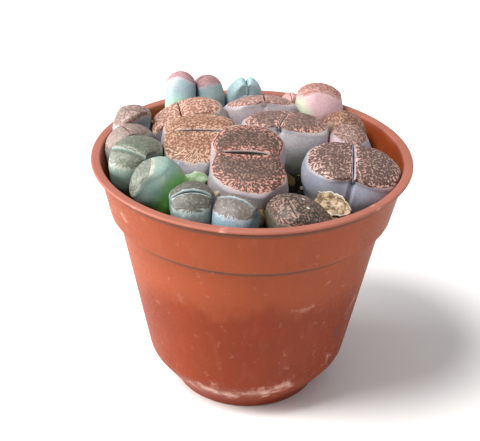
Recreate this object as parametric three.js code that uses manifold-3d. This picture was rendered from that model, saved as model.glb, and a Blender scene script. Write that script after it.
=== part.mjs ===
// A round plastic nursery pot packed with lithops, the succulents that look like split pebbles.
// Millimetres, +Z up, with the origin on the surface below the middle of the pot.
// The pot is a thin lathe-turned shell. The soil fills it, with one plain hole for each plant.
// A plant is one grown body: two leaves that meet at a fissure and taper into the root.
// Plants that touch press each other flat, and the pot's wall presses those beside it.

import * as THREE from "three";
import { mergeVertices } from "three/addons/utils/BufferGeometryUtils.js";
import Module from "manifold-3d";

const wasm = await Module();
wasm.setup();

const DEGREE = Math.PI / 180;
const GAP = 0.35; // left between pieces that touch, so that their faces never cross

// ---------------------------------------------------------------- pot sizes
const RIM_HEIGHT = 96;
const RIM_RADIUS = 60;
const LIP_THICKNESS = 1.3;
const WALL = 1.2;
const COLLAR_TOP_RADIUS = 57.6;
const COLLAR_FOOT_RADIUS = 53.2;
const COLLAR_FOOT_HEIGHT = RIM_HEIGHT - 20.5;
const STEP_WIDTH = 2.6; // the body starts this far inside the collar
const STEP_HEIGHT = 0.5;
const BODY_FOOT_RADIUS = 38.2;
const BODY_FOOT_HEIGHT = 14.6;
const STAND_TOP_RADIUS = 29.6;
const STAND_TOP_HEIGHT = 3.6;
const STAND_RADIUS = 27.6;
const FLOOR_HEIGHT = 3.2; // underside of the pot's floor, clear of the table
const POT_SIDES = 48;
const DRAIN = { count: 6, circle: 17, radius: 3.4, middle: 4.2, sides: 12 };

// --------------------------------------------------------------- soil sizes
const SOIL_HEIGHT = RIM_HEIGHT - 10.5; // mean level at the middle
const SOIL_FALL = 2.5; // how much lower the soil lies at the wall
const SOIL_SIDES = 40;
const GRIT = { count: 42, smallest: 0.9, largest: 1.9, sunk: 0.25, flat: 0.7, seed: 11 };

// ------------------------------------------------------------- plant shapes
const ROOT_SHARE = 0.13; // width of the root tip beside the shoulder
const PRESS_SOFTNESS = 0.45; // how roundly a pressed face meets the rest

// Every leaf pair, seen in the photograph or packed in behind it.
// x, y: middle of the fissure. rise: its height above the rim. tall: face to root tip.
// across: size over both leaves. along: size along the fissure.
// turn: bearing of the first leaf, in degrees from +X. lean: tilt of the body towards leanTo.
// first, second: length of each leaf beside the even half. notch: dent at the fissure's ends.
// slope: how much the faces fall outwards, as a share of their length. crown: depth of the rounded
// shoulder beside the length along the fissure.
const PLANTS = {
  plant_centre: {
    x: -1.5, y: -18.5, rise: 9.5, across: 34, along: 29, tall: 29, turn: 271, lean: 17, leanTo: 275,
    first: 1.16, second: 1.1, notch: 0.16, slope: 0.03, crown: 0.12, sides: 24, colour: 0x9c7d76,
  },
  plant_orange_large: {
    x: -19.8, y: 2, rise: 7.5, across: 32.5, along: 31, tall: 28, turn: 270, lean: 13, leanTo: 262,
    first: 1.2, second: 0.98, notch: 0.1, slope: 0.06, crown: 0.13, sides: 24, colour: 0xb58e70,
  },
  plant_orange_back: {
    x: -28.5, y: 22.5, rise: 7, across: 29.5, along: 20, tall: 27, turn: 190, lean: 20, leanTo: 192,
    first: 1.05, second: 1.08, notch: 0.14, slope: 0.12, crown: 0.14, sides: 20, colour: 0xb8876d,
  },
  plant_right_large: {
    x: 37.3, y: -12, rise: 5.6, across: 36, along: 26.5, tall: 30, turn: 358, lean: 12, leanTo: 312,
    first: 1.06, second: 0.97, notch: 0.16, slope: 0.08, crown: 0.12, sides: 24, colour: 0x93827f,
  },
  plant_lilac_right: {
    x: 11.8, y: 16, rise: 8.3, across: 34, along: 19.5, tall: 28, turn: 346, lean: 4, leanTo: 100,
    first: 1.06, second: 0.97, notch: 0.18, slope: 0.08, crown: 0.14, sides: 24, colour: 0x9a8584,
  },
  plant_lilac_back: {
    x: 4, y: 34, rise: 7.8, across: 29, along: 17, tall: 27, turn: 183, lean: 14, leanTo: 95,
    first: 1.12, second: 0.9, notch: 0.16, slope: 0.14, crown: 0.14, sides: 20, colour: 0xa48b8a,
  },
  plant_pink_back: {
    x: 26.3, y: 44.5, rise: 9.2, across: 18, along: 20, tall: 29, turn: 276, lean: 14, leanTo: 70,
    first: 1.2, second: 0.7, notch: 0.06, slope: 0.2, crown: 0.22, sides: 20, colour: 0xd3a0a2,
  },
  plant_pink_small: {
    x: 14.6, y: 45.5, rise: 4.6, across: 13, along: 10, tall: 18, turn: 190, lean: 8, leanTo: 180,
    first: 1.1, second: 0.9, notch: 0.12, slope: 0.3, crown: 0.35, sides: 16, colour: 0xdba3a4,
  },
  plant_amber_right: {
    x: 35.5, y: 25.5, rise: 5.5, across: 19, along: 17.5, tall: 24, turn: 320, lean: 6, leanTo: 40,
    first: 1, second: 1, notch: 0.12, slope: 0.18, crown: 0.16, sides: 20, colour: 0xab7f66,
  },
  plant_small_right: {
    x: 37.2, y: 7.0, rise: 7.8, across: 13.5, along: 19.5, tall: 25, turn: 219, lean: 12, leanTo: 250,
    first: 1.2, second: 0.8, notch: 0.08, slope: 0.14, crown: 0.18, sides: 20, colour: 0x9b8580,
  },
  plant_dark_front: {
    x: 12.8, y: -42.2, rise: 2.2, across: 24.5, along: 22.5, tall: 20, turn: 22, lean: 5, leanTo: 270,
    first: 1.48, second: 0.56, notch: 0.06, slope: 0.28, crown: 0.12, sides: 20, colour: 0x6d5650,
  },
  plant_blue_front: {
    x: -5, y: -45, rise: 3, across: 17, along: 17, tall: 21, turn: 247, lean: 10, leanTo: 268,
    first: 0.98, second: 1, notch: 0.12, slope: 0.14, crown: 0.14, sides: 20, colour: 0x93a6ad,
  },
  plant_grey_front: {
    x: -20.4, y: -43, rise: 3.4, across: 20, along: 16.2, tall: 22, turn: 273, lean: 20, leanTo: 262,
    first: 0.85, second: 1.3, notch: 0.12, slope: 0.12, crown: 0.16, sides: 20, colour: 0x7f8680,
  },
  plant_green_left: {
    x: -39, y: -27, rise: 5.6, across: 19.5, along: 14, tall: 25, turn: 5, lean: 44, leanTo: 188,
    first: 1, second: 1, notch: 0.12, slope: 0.12, crown: 0.14, sides: 20, colour: 0x7f9f8a,
  },
  plant_olive_left: {
    x: -44.8, y: -15, rise: 5.8, across: 23, along: 16.8, tall: 25, turn: 246, lean: 20, leanTo: 255,
    first: 0.68, second: 1.5, notch: 0.26, slope: 0.18, crown: 0.2, sides: 20, colour: 0x7f8d7c,
  },
  plant_rose_left: {
    x: -48.5, y: 8.5, rise: 4.4, across: 22, along: 11.5, tall: 22, turn: 217, lean: 12, leanTo: 210,
    first: 1, second: 1, notch: 0.16, slope: 0.16, crown: 0.2, sides: 16, colour: 0x97908d,
  },
  plant_rose_rim: {
    x: -46.6, y: 20.2, rise: 7.8, across: 19, along: 14, tall: 26, turn: 230, lean: 8, leanTo: 160,
    first: 1.05, second: 0.95, notch: 0.16, slope: 0.2, crown: 0.2, sides: 20, colour: 0xa19791,
  },
  plant_blue_column: {
    x: -29.3, y: 43, rise: 14.2, across: 15, along: 12.8, tall: 33, turn: 262, lean: 5, leanTo: 110,
    first: 1, second: 1, notch: 0.04, slope: 0.3, crown: 0.42, sides: 16, colour: 0xb9ccd0,
  },
  plant_blue_pink: {
    x: -19, y: 47.5, rise: 11, across: 14.5, along: 12.5, tall: 29, turn: 305, lean: 6, leanTo: 90,
    first: 1.08, second: 0.95, notch: 0.14, slope: 0.26, crown: 0.34, sides: 16, colour: 0xa9b9ba,
  },
  plant_blue_back: {
    x: -3.2, y: 50, rise: 8, across: 15.5, along: 11, tall: 26, turn: 186, lean: 6, leanTo: 120,
    first: 1.2, second: 0.8, notch: 0.24, slope: 0.26, crown: 0.42, sides: 16, colour: 0xa9c0c6,
  },
};

// Dry leaves and withered skins that lie between the plants, each a node of one or more curled
// blades. A blade has its middle (x, y, and its height above the rim), its length and width, the
// bearing of its length, how steeply it climbs, its turn about its length, and the arcs in degrees
// across it and along it.
const BLADE = { thickness: 0.7, steps: 7, across: 5 };
const blade = ([x, y, rise], [length, width], [heading, pitch, roll], [curl, bend]) => ({
  x, y, rise, length, width, heading, pitch, roll, curl, bend,
});
const SCRAPS = {
  husk_right: {
    colour: 0xcfc09a,
    blades: [
      blade([28.2, -32.8, -1.6], [17, 9], [311, 4, 48], [110, 50]),
      blade([28.4, -35.6, -5], [11, 7], [308, -4, 20], [80, 40]),
    ],
  },
  husk_front: {
    colour: 0xb9a58c,
    blades: [
      blade([-13, -33, -3.2], [7, 4.5], [60, 25, 20], [150, 60]),
      blade([-13, -34.5, -5], [7, 3.6], [110, -20, 0], [90, 40]),
    ],
  },
  leaf_withered_green: { colour: 0xa3bf86, blades: [blade([-20.5, -20, -2], [9, 5], [0, 0, -30], [80, 50])] },
  leaf_dry_tan: { colour: 0xb08a5a, blades: [blade([-17.2, -25.5, -4.5], [9, 3], [100, -35, 70], [70, 30])] },
  leaf_dry_front: { colour: 0x8f7442, blades: [blade([4.4, -39, -6], [11, 4.5], [75, 12, 50], [70, 40])] },
  leaf_dry_middle: {
    colour: 0x7d7443,
    blades: [blade([14.5, 0.5, -9.2], [10, 4.5], [115, 8, 15], [70, 60])],
  },
  leaf_dry_left: { colour: 0xa88755, blades: [blade([-40, 31, -3], [11, 5], [240, 35, 10], [60, 30])] },
  leaf_pale_left: { colour: 0xc4bda6, blades: [blade([-36, 5, -3], [9, 4], [80, 10, 60], [90, 40])] },
};

// ------------------------------------------------------------- solid helpers
// A closed three.js geometry as a manifold-3d solid, placed by a matrix.
function solidOf(geometry, matrix = new THREE.Matrix4()) {
  const bare = geometry.clone();
  bare.deleteAttribute("normal");
  bare.deleteAttribute("uv");
  bare.applyMatrix4(matrix);
  const merged = mergeVertices(bare, 1e-4);
  return new wasm.Manifold(
    new wasm.Mesh({
      numProp: 3,
      vertProperties: merged.attributes.position.array,
      triVerts: new Uint32Array(merged.index.array),
    }),
  );
}

// A manifold-3d solid as a three.js geometry.
function geometryOf(solid) {
  const mesh = solid.getMesh();
  const geometry = new THREE.BufferGeometry();
  geometry.setAttribute("position", new THREE.BufferAttribute(mesh.vertProperties, 3));
  geometry.setIndex(new THREE.BufferAttribute(mesh.triVerts, 1));
  geometry.computeVertexNormals();
  return geometry;
}

// The largest body of a solid, without any crumb that a cut left loose.
function largestOf(solid) {
  return solid.decompose().reduce((most, body) => (body.volume() > most.volume() ? body : most));
}

// A closed surface from rings of points, each joined to the next. Seen from above a ring runs
// clockwise. The first ring is folded flat or shrunk to a point, and the last closes on its middle.
function geometryFromRings(rings) {
  const sides = rings[0].length;
  const last = (rings.length - 1) * sides;
  const middle = rings[rings.length - 1]
    .reduce((sum, point) => sum.add(point), new THREE.Vector3())
    .divideScalar(sides);
  const points = [...rings.flat(), middle];
  const index = [];
  for (let side = 0; side < sides; side++) {
    const next = (side + 1) % sides;
    for (let start = 0; start < last; start += sides) {
      index.push(start + side, start + next, start + side + sides);
      index.push(start + next, start + next + sides, start + side + sides);
    }
    index.push(last + side, last + next, points.length - 1);
  }
  const geometry = new THREE.BufferGeometry().setFromPoints(points);
  geometry.setIndex(index);
  return geometry;
}

// A repeatable stream of numbers from 0 to 1.
function seeded(seed) {
  let state = seed >>> 0;
  return () => {
    state = (Math.imul(state, 1664525) + 1013904223) >>> 0;
    return state / 4294967296;
  };
}

// ------------------------------------------------------------------ the pot
// The inside of the pot from the rim down, set in from its outer face.
function innerOutline(inset) {
  const bodyTop = COLLAR_FOOT_RADIUS - STEP_WIDTH;
  return [
    [COLLAR_TOP_RADIUS - inset, RIM_HEIGHT - 0.5],
    [COLLAR_FOOT_RADIUS - inset, COLLAR_FOOT_HEIGHT + inset],
    [bodyTop - inset, COLLAR_FOOT_HEIGHT + inset - STEP_HEIGHT],
    [BODY_FOOT_RADIUS - inset, BODY_FOOT_HEIGHT + 0.3 * inset],
    [STAND_TOP_RADIUS - inset, STAND_TOP_HEIGHT + 0.8 * inset],
  ];
}

// The shell's outline: outside from the table up, over the lip, and down the inside to the axis.
function shellGeometry() {
  const outline = [
    [0, FLOOR_HEIGHT],
    [STAND_RADIUS - 2 * WALL, FLOOR_HEIGHT],
    [STAND_RADIUS - WALL, 0],
    [STAND_RADIUS, 0],
    [STAND_TOP_RADIUS, STAND_TOP_HEIGHT],
    [BODY_FOOT_RADIUS - 0.8, BODY_FOOT_HEIGHT - 1],
    [BODY_FOOT_RADIUS, BODY_FOOT_HEIGHT],
    [COLLAR_FOOT_RADIUS - STEP_WIDTH, COLLAR_FOOT_HEIGHT - STEP_HEIGHT],
    [COLLAR_FOOT_RADIUS - 0.4, COLLAR_FOOT_HEIGHT - 0.1],
    [COLLAR_FOOT_RADIUS, COLLAR_FOOT_HEIGHT + 0.4],
    [COLLAR_TOP_RADIUS, RIM_HEIGHT - LIP_THICKNESS - 0.3],
    [RIM_RADIUS - 0.3, RIM_HEIGHT - LIP_THICKNESS],
    [RIM_RADIUS, RIM_HEIGHT - LIP_THICKNESS + 0.3],
    [RIM_RADIUS, RIM_HEIGHT - 0.4],
    [RIM_RADIUS - 0.5, RIM_HEIGHT],
    [COLLAR_TOP_RADIUS - WALL + 0.5, RIM_HEIGHT],
    ...innerOutline(WALL),
    [0, FLOOR_HEIGHT + WALL],
  ];
  const points = outline.map(([radius, height]) => new THREE.Vector2(radius, height));
  return new THREE.LatheGeometry(points, POT_SIDES).rotateX(90 * DEGREE);
}

// The shell with its drain holes: one in the middle and a circle of them.
function buildPot() {
  const holeAt = (bearing, circle, radius) =>
    solidOf(
      new THREE.CylinderGeometry(radius, radius, 4 * WALL, DRAIN.sides)
        .rotateX(90 * DEGREE)
        .translate(circle * Math.cos(bearing), circle * Math.sin(bearing), FLOOR_HEIGHT + WALL / 2),
    );
  let pot = solidOf(shellGeometry()).subtract(holeAt(0, 0, DRAIN.middle));
  for (let i = 0; i < DRAIN.count; i++) {
    const bearing = (2 * Math.PI * i) / DRAIN.count;
    pot = pot.subtract(holeAt(bearing, DRAIN.circle, DRAIN.radius));
  }
  return pot;
}

// --------------------------------------------------------------- the plants
const power = (value, exponent) => Math.sign(value) * Math.abs(value) ** exponent;

// Half-outline of a leaf pair at the shoulder. The angle is zero at one end of the fissure.
// An oval a little squarer than an ellipse, dented where the fissure meets the edge.
function outlineAt(plant, angle, dent) {
  const s = Math.sin(angle);
  const c = Math.cos(angle);
  const leaf = s >= 0 ? plant.first : plant.second;
  const widen = 1 + 0.4 * (leaf - 1) * Math.min(1, 2 * Math.abs(s));
  const dented = 1 - dent * Math.exp(-((s / 0.3) ** 2));
  return {
    x: (plant.across / 2) * leaf * power(s, 0.86),
    y: (plant.along / 2) * widen * power(c, 0.86) * dented,
  };
}

// Rings of one body in its own frame: X across the leaves, Y along the fissure, Z up,
// with the middle of the face at the origin. grow widens it all round, for its hole in the soil.
function plantRings(plant, grow = 0) {
  const half = plant.across / 2;
  const shoulder = plant.crown * plant.along;
  const cleft = 0.17 * plant.along;
  const gape = 0.03 * plant.along;
  const fallAt = (x, y) =>
    plant.slope * (half * Math.abs(x / half) ** 1.8 + 0.3 * plant.along * (2 * y / plant.along) ** 2);
  const rings = [];
  const ring = (place) => {
    const points = [];
    for (let side = 0; side < plant.sides; side++)
      points.push(place((2 * Math.PI * side) / plant.sides));
    rings.push(points);
  };
  // The bottom of the fissure, a line.
  ring((angle) => new THREE.Vector3(0, 0.4 * plant.along * Math.cos(angle), -cleft));
  // The face, from the lips of the fissure out to the shoulder.
  for (const reach of [0.06, 0.2, 0.6, 0.88, 1])
    ring((angle) => {
      const edge = outlineAt(plant, angle, plant.notch);
      const x = edge.x * reach + (1 - reach) * gape * power(Math.sin(angle), 0.5);
      const y = 0.42 * plant.along * Math.cos(angle) * (1 - reach) + edge.y * reach;
      const lip = 0.5 * cleft * Math.exp(-Math.abs(x) / (0.06 * half));
      return new THREE.Vector3(x, y, -fallAt(x, y) - shoulder * reach ** 7 - lip);
    });
  // The side, swelling a little below the shoulder and then closing in to the root.
  for (const down of [0.12, 0.36, 0.68, 1])
    ring((angle) => {
      const edge = outlineAt(plant, angle, plant.notch * Math.max(0, 1 - down / 0.5));
      const size = Math.hypot(edge.x, edge.y);
      const swell = 1 + 0.045 * Math.sin(Math.PI * Math.min(1, down / 0.4));
      const taper = Math.sqrt(1 - (1 - ROOT_SHARE ** 2) * down ** 2.2);
      const wide = swell * taper + grow / size;
      const start = -fallAt(edge.x, edge.y) - shoulder;
      const z = start + (-plant.tall - start) * down - (down === 1 ? grow : 0);
      return new THREE.Vector3(edge.x * wide, edge.y * wide, z);
    });
  return rings;
}

// The rings moved to the plant's place in the pot: turned, then leaned about the face.
function placedRings(plant, grow) {
  const tilt = new THREE.Vector3(-Math.sin(plant.leanTo * DEGREE), Math.cos(plant.leanTo * DEGREE), 0);
  const lean = new THREE.Quaternion().setFromAxisAngle(tilt, plant.lean * DEGREE);
  const turn = new THREE.Quaternion().setFromAxisAngle(new THREE.Vector3(0, 0, 1), plant.turn * DEGREE);
  const place = new THREE.Matrix4().compose(
    new THREE.Vector3(plant.x, plant.y, RIM_HEIGHT + plant.rise),
    lean.multiply(turn),
    new THREE.Vector3(1, 1, 1),
  );
  return plantRings(plant, grow).map((ring) => ring.map((point) => point.applyMatrix4(place)));
}

// A distance past a limit, drawn back softly so that it never passes it.
const held = (past) => -PRESS_SOFTNESS * Math.log1p(Math.exp(-past / PRESS_SOFTNESS));

// Two bodies that would meet share a flat face between them. Among directions near the line of
// their middles, the one in which they overlap least gives that face.
function contactOf(first, second) {
  const middleOf = (points) =>
    points.reduce((sum, point) => sum.add(point), new THREE.Vector3()).divideScalar(points.length);
  const line = middleOf(second).sub(middleOf(first));
  const bearing = Math.atan2(line.y, line.x);
  let best = { overlap: Infinity };
  for (let swing = -60; swing <= 60; swing += 10)
    for (let pitch = -30; pitch <= 30; pitch += 10) {
      const level = Math.cos(pitch * DEGREE);
      const direction = new THREE.Vector3(
        level * Math.cos(bearing + swing * DEGREE),
        level * Math.sin(bearing + swing * DEGREE),
        Math.sin(pitch * DEGREE),
      );
      const top = Math.max(...first.map((point) => point.dot(direction)));
      const bottom = Math.min(...second.map((point) => point.dot(direction)));
      if (top - bottom < best.overlap)
        best = { overlap: top - bottom, direction, level: (top + bottom) / 2 };
    }
  return best;
}

// The faces that press each plant, as a direction and the level along it that is not passed.
function findPresses(bodies) {
  const names = Object.keys(bodies);
  const presses = Object.fromEntries(names.map((name) => [name, []]));
  names.forEach((name, i) => {
    for (const other of names.slice(i + 1)) {
      const contact = contactOf(bodies[name].flat(), bodies[other].flat());
      if (contact.overlap < -GAP) continue;
      const back = contact.direction.clone().negate();
      presses[name].push({ direction: contact.direction, level: contact.level - GAP / 2 });
      presses[other].push({ direction: back, level: -contact.level - GAP / 2 });
    }
  });
  return presses;
}

// Rings pressed by their neighbours and by the pot's wall. ease moves those limits outwards.
function pressRings(rings, presses, ease = 0) {
  const slope = (COLLAR_TOP_RADIUS - COLLAR_FOOT_RADIUS) / (RIM_HEIGHT - COLLAR_FOOT_HEIGHT);
  for (const point of rings.flat()) {
    for (const { direction, level } of presses) {
      const past = point.dot(direction) - level - ease;
      point.addScaledVector(direction, held(past) - past);
    }
    const wall = COLLAR_TOP_RADIUS - WALL - GAP - slope * (RIM_HEIGHT - point.z) + ease;
    const out = Math.hypot(point.x, point.y);
    const inside = (wall + held(out - wall)) / out;
    point.x *= inside;
    point.y *= inside;
  }
  return rings;
}

// ---------------------------------------------------------------- dry leaves
// Rings of one curled blade round its spine, an arc. It tapers to a point at the first end and
// narrows at the other. grow thickens and widens it all round, for its slot in the soil.
function bladeRings(blade, grow = 0) {
  const length = blade.length + 2 * grow;
  const bend = blade.bend * DEGREE;
  const place = new THREE.Matrix4().compose(
    new THREE.Vector3(blade.x, blade.y, RIM_HEIGHT + blade.rise),
    new THREE.Quaternion().setFromEuler(
      new THREE.Euler(blade.roll * DEGREE, -blade.pitch * DEGREE, blade.heading * DEGREE, "ZYX"),
    ),
    new THREE.Vector3(1, 1, 1),
  );
  const rings = [];
  for (let step = 0; step <= BLADE.steps; step++) {
    const share = step / BLADE.steps;
    const angle = bend * (share - 0.5);
    const spine = { x: (length / bend) * Math.sin(angle), z: (length / bend) * (Math.cos(angle) - 1) };
    const full = Math.sin(Math.PI * (0.85 * share)) ** 0.6;
    const width = blade.width * full + (step === 0 ? 0 : 2 * grow);
    const ring = [];
    for (let i = 0; i < 2 * BLADE.across; i++) {
      const outer = i < BLADE.across;
      const along = outer ? i : 2 * BLADE.across - 1 - i;
      const arc = blade.curl * DEGREE * (0.5 - along / (BLADE.across - 1));
      const radius = width / (blade.curl * DEGREE);
      const depth = (step === 0 ? 0 : 1) * (outer ? 1 : -1) * (BLADE.thickness / 2 + grow);
      const y = (radius + depth) * Math.sin(arc);
      const z = (radius + depth) * Math.cos(arc) - radius;
      ring.push(new THREE.Vector3(spine.x + z * Math.sin(angle), y, spine.z + z * Math.cos(angle)));
    }
    rings.push(ring.map((point) => point.applyMatrix4(place)));
  }
  return rings;
}

// The blades of a node joined, and trimmed where a plant stands. Grown, it is its slot in the soil.
function scrapSolid(scrap, plantHoles, grow = 0) {
  const blades = scrap.blades.map((blade) => solidOf(geometryFromRings(bladeRings(blade, grow))));
  const joined = blades.reduce((sum, blade) => sum.add(blade));
  return largestOf(plantHoles.reduce((rest, hole) => rest.subtract(hole), joined));
}

// ----------------------------------------------------------------- the soil
// Level of the soil: a low mound, with slow waves.
function soilLevel(x, y) {
  const out = Math.hypot(x, y) / COLLAR_FOOT_RADIUS;
  const waves = 0.6 * Math.sin(0.21 * x + 1.3) * Math.cos(0.17 * y) + 0.4 * Math.sin(0.37 * y - 0.29 * x);
  return SOIL_HEIGHT - SOIL_FALL * out * out + waves;
}

// Radius of the soil's edge where it meets the wall.
function soilBrim() {
  const [rim, collar] = innerOutline(WALL + GAP);
  const share = (SOIL_HEIGHT - SOIL_FALL - collar[1]) / (rim[1] - collar[1]);
  return collar[0] + share * (rim[0] - collar[0]) - 0.3;
}

function soilGeometry() {
  const rings = [];
  const ring = (radius, height) => {
    const points = [];
    for (let side = 0; side < SOIL_SIDES; side++) {
      const angle = (2 * Math.PI * side) / SOIL_SIDES;
      const x = radius * Math.sin(angle);
      const y = radius * Math.cos(angle);
      points.push(new THREE.Vector3(x, y, height ?? soilLevel(x, y)));
    }
    rings.push(points);
  };
  for (const share of [0, 0.2, 0.4, 0.6, 0.8, 1]) ring(share * soilBrim());
  for (const [radius, height] of innerOutline(WALL + GAP).slice(1)) ring(radius, height);
  ring(STAND_TOP_RADIUS - WALL - GAP - 0.6, FLOOR_HEIGHT + WALL + GAP);
  return geometryFromRings(rings);
}

// One crumb of grit: a squat eight-sided stone, turned at random and half sunk.
function gritGeometry(draw) {
  const size = GRIT.smallest + (GRIT.largest - GRIT.smallest) * draw() ** 2;
  const radius = (soilBrim() - 2) * Math.sqrt(draw());
  const bearing = 2 * Math.PI * draw();
  const x = radius * Math.cos(bearing);
  const y = radius * Math.sin(bearing);
  return new THREE.OctahedronGeometry(size)
    .scale(1, 0.6 + 0.4 * draw(), GRIT.flat)
    .rotateX(draw())
    .rotateZ(2 * Math.PI * draw())
    .translate(x, y, soilLevel(x, y) + GRIT.sunk * size);
}

// The soil with its grit, cut by the plants' holes.
function buildSoil(holes) {
  const draw = seeded(GRIT.seed);
  let soil = solidOf(soilGeometry());
  for (let i = 0; i < GRIT.count; i++) soil = soil.add(solidOf(gritGeometry(draw)));
  for (const hole of holes) soil = soil.subtract(hole);
  return largestOf(soil);
}

// ------------------------------------------------------------- the assembly
const group = new THREE.Group();

function addMesh(name, geometry, colour, roughness) {
  const material = new THREE.MeshStandardMaterial({ color: colour, roughness, metalness: 0 });
  const mesh = new THREE.Mesh(geometry, material);
  mesh.name = name;
  group.add(mesh);
}

const entries = Object.entries(PLANTS);
const bodies = Object.fromEntries(entries.map(([name, plant]) => [name, placedRings(plant, 0)]));
const presses = findPresses(bodies);
const plantHoles = [];
for (const [name, plant] of entries) {
  const body = geometryFromRings(pressRings(bodies[name], presses[name]));
  addMesh(name, geometryOf(solidOf(body)), plant.colour, 0.7);
  const hole = pressRings(placedRings(plant, GAP), presses[name], GAP);
  plantHoles.push(solidOf(geometryFromRings(hole)));
}
const slots = [];
for (const [name, scrap] of Object.entries(SCRAPS)) {
  addMesh(name, geometryOf(scrapSolid(scrap, plantHoles)), scrap.colour, 0.85);
  slots.push(scrapSolid(scrap, [], GAP));
}
addMesh("pot", geometryOf(buildPot()), 0xc0603f, 0.5);
addMesh("soil", geometryOf(buildSoil([...plantHoles, ...slots])), 0x3c3226, 0.95);

export default group;
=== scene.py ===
"""Looks of a round plastic nursery pot packed with lithops, the succulents like split pebbles.

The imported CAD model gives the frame. Every piece here stands for one of its nodes, in the same
place: the turned pot, the soil with its grit, twenty leaf pairs and the dry scraps between them.
Shapes are worked out in millimetres as whole numpy arrays and turned to metres in the mesh.
"""

import logging
from dataclasses import dataclass, replace
from enum import Enum

import bpy
import numpy as np
from mathutils import Matrix, Vector


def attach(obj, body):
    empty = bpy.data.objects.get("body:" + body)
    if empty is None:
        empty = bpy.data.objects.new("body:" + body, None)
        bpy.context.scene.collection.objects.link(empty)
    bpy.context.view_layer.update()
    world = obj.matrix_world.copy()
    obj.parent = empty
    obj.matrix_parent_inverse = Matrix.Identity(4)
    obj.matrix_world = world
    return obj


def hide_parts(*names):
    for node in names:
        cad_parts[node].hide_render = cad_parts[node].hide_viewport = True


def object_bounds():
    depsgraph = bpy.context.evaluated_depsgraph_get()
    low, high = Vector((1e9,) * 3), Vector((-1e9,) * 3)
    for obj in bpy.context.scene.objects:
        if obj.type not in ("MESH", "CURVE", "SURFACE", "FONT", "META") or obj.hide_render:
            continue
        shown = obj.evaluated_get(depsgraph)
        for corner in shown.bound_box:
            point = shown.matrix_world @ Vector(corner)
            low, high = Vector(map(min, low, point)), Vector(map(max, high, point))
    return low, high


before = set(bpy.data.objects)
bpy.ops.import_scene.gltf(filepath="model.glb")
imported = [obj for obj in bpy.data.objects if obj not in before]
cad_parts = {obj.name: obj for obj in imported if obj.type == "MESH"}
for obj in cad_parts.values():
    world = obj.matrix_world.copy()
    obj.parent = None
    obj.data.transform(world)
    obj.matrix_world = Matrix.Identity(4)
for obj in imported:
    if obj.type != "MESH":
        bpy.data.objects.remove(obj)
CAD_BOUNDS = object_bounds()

LOG = logging.getLogger("potted_lithops")
MM = 0.001  # in metres
GAP = 0.35  # left free between two bodies, in millimetres like the sizes of the pot below
RIM_HEIGHT = 96.0
COLLAR_TOP_RADIUS = 57.6
COLLAR_FOOT_RADIUS = 53.2
COLLAR_FOOT_HEIGHT = 75.5
BEVEL_RADIUS = 38.2  # where the body turns in to its foot
BEVEL_HEIGHT = 14.6
FOOT_RADIUS = 29.6
FOOT_HEIGHT = 3.6
FLOOR_HEIGHT = 3.2  # of the floor's underside
WALL = 1.2

Array = np.ndarray
Colour = tuple[float, float, float, float]
Faces = list[tuple[int, ...]]
Presses = list[tuple[Array, float]]
Socket = bpy.types.NodeSocket
Value = Socket | float | Colour


# ------------------------------------------------------------------ number helpers
def rgb(red: int, green: int, blue: int) -> Colour:
    """Turn a screen colour into the linear colour that a shader takes.

    Args:
        red: Red from 0 to 255.
        green: Green from 0 to 255.
        blue: Blue from 0 to 255.

    Returns:
        Linear red, green, blue and 1.
    """
    screen = np.array([red, green, blue]) / 255.0
    linear = np.where(screen <= 0.04045, screen / 12.92, ((screen + 0.055) / 1.055) ** 2.4)
    return (*(float(part) for part in linear), 1.0)


def signed_power(value: Array, exponent: float) -> Array:
    """Return the size of each value raised to the exponent, with the value's own sign."""
    return np.sign(value) * np.abs(value) ** exponent


def columns(*parts: Array | float) -> Array:
    """Return numbers, or arrays of numbers, side by side as the columns of one table."""
    return np.stack(np.broadcast_arrays(*parts), axis=-1)


def smooth(value: Array, low: float, high: float) -> Array:
    """Return 0 below low, 1 above high, and 3t^2 - 2t^3 between them."""
    share = np.clip((value - low) / (high - low), 0.0, 1.0)
    return share * share * (3.0 - 2.0 * share)


def scrambled(cells: Array, seed: int) -> Array:
    """Give every whole lattice cell a fixed number from 0 to 1.

    Args:
        cells: Whole coordinates, with the last axis of length 3.
        seed: Which of the many tables of numbers to use.

    Returns:
        One number for each cell.
    """
    cell = cells.astype(np.int64).astype(np.uint32)
    mixed = cell[..., 0] * np.uint32(0x8DA6B343)
    mixed ^= cell[..., 1] * np.uint32(0xD8163841)
    mixed ^= cell[..., 2] * np.uint32(0xCB1AB31F)
    mixed ^= np.uint32((seed * 0x9E3779B9) & 0xFFFFFFFF)
    mixed ^= mixed >> np.uint32(13)
    mixed *= np.uint32(0x5BD1E995)
    mixed ^= mixed >> np.uint32(15)
    mixed *= np.uint32(0x27D4EB2F)
    mixed ^= mixed >> np.uint32(14)
    return mixed / 4294967296.0


def noise(points: Array, size: float, seed: int = 0, octaves: int = 3) -> Array:
    """Lay smooth random hills over space.

    Each octave blends the numbers at a point's eight lattice corners with the weights
    6t^5 - 15t^4 + 10t^3, and has half the size and half the height of the one before.

    Args:
        points: Places in millimetres, with the last axis of length 3.
        size: Width of the largest hills in millimetres.
        seed: Which noise.
        octaves: How many sizes of hill are added.

    Returns:
        Heights from about -1 to 1.
    """
    total = np.zeros(points.shape[:-1])
    height = 1.0
    for octave in range(octaves):
        place = points / size * 2.0**octave + 17.3 * octave
        cell = np.floor(place)
        t = place - cell
        fade = t * t * t * (t * (t * 6.0 - 15.0) + 10.0)
        blend = np.zeros(points.shape[:-1])
        for corner in range(8):
            offset = np.array([corner & 1, corner >> 1 & 1, corner >> 2 & 1])
            weight = np.prod(np.where(offset == 1, fade, 1.0 - fade), axis=-1)
            blend += weight * scrambled(cell + offset, seed + octave)
        total += height * (2.0 * blend - 1.0)
        height *= 0.5
    return total


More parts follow.
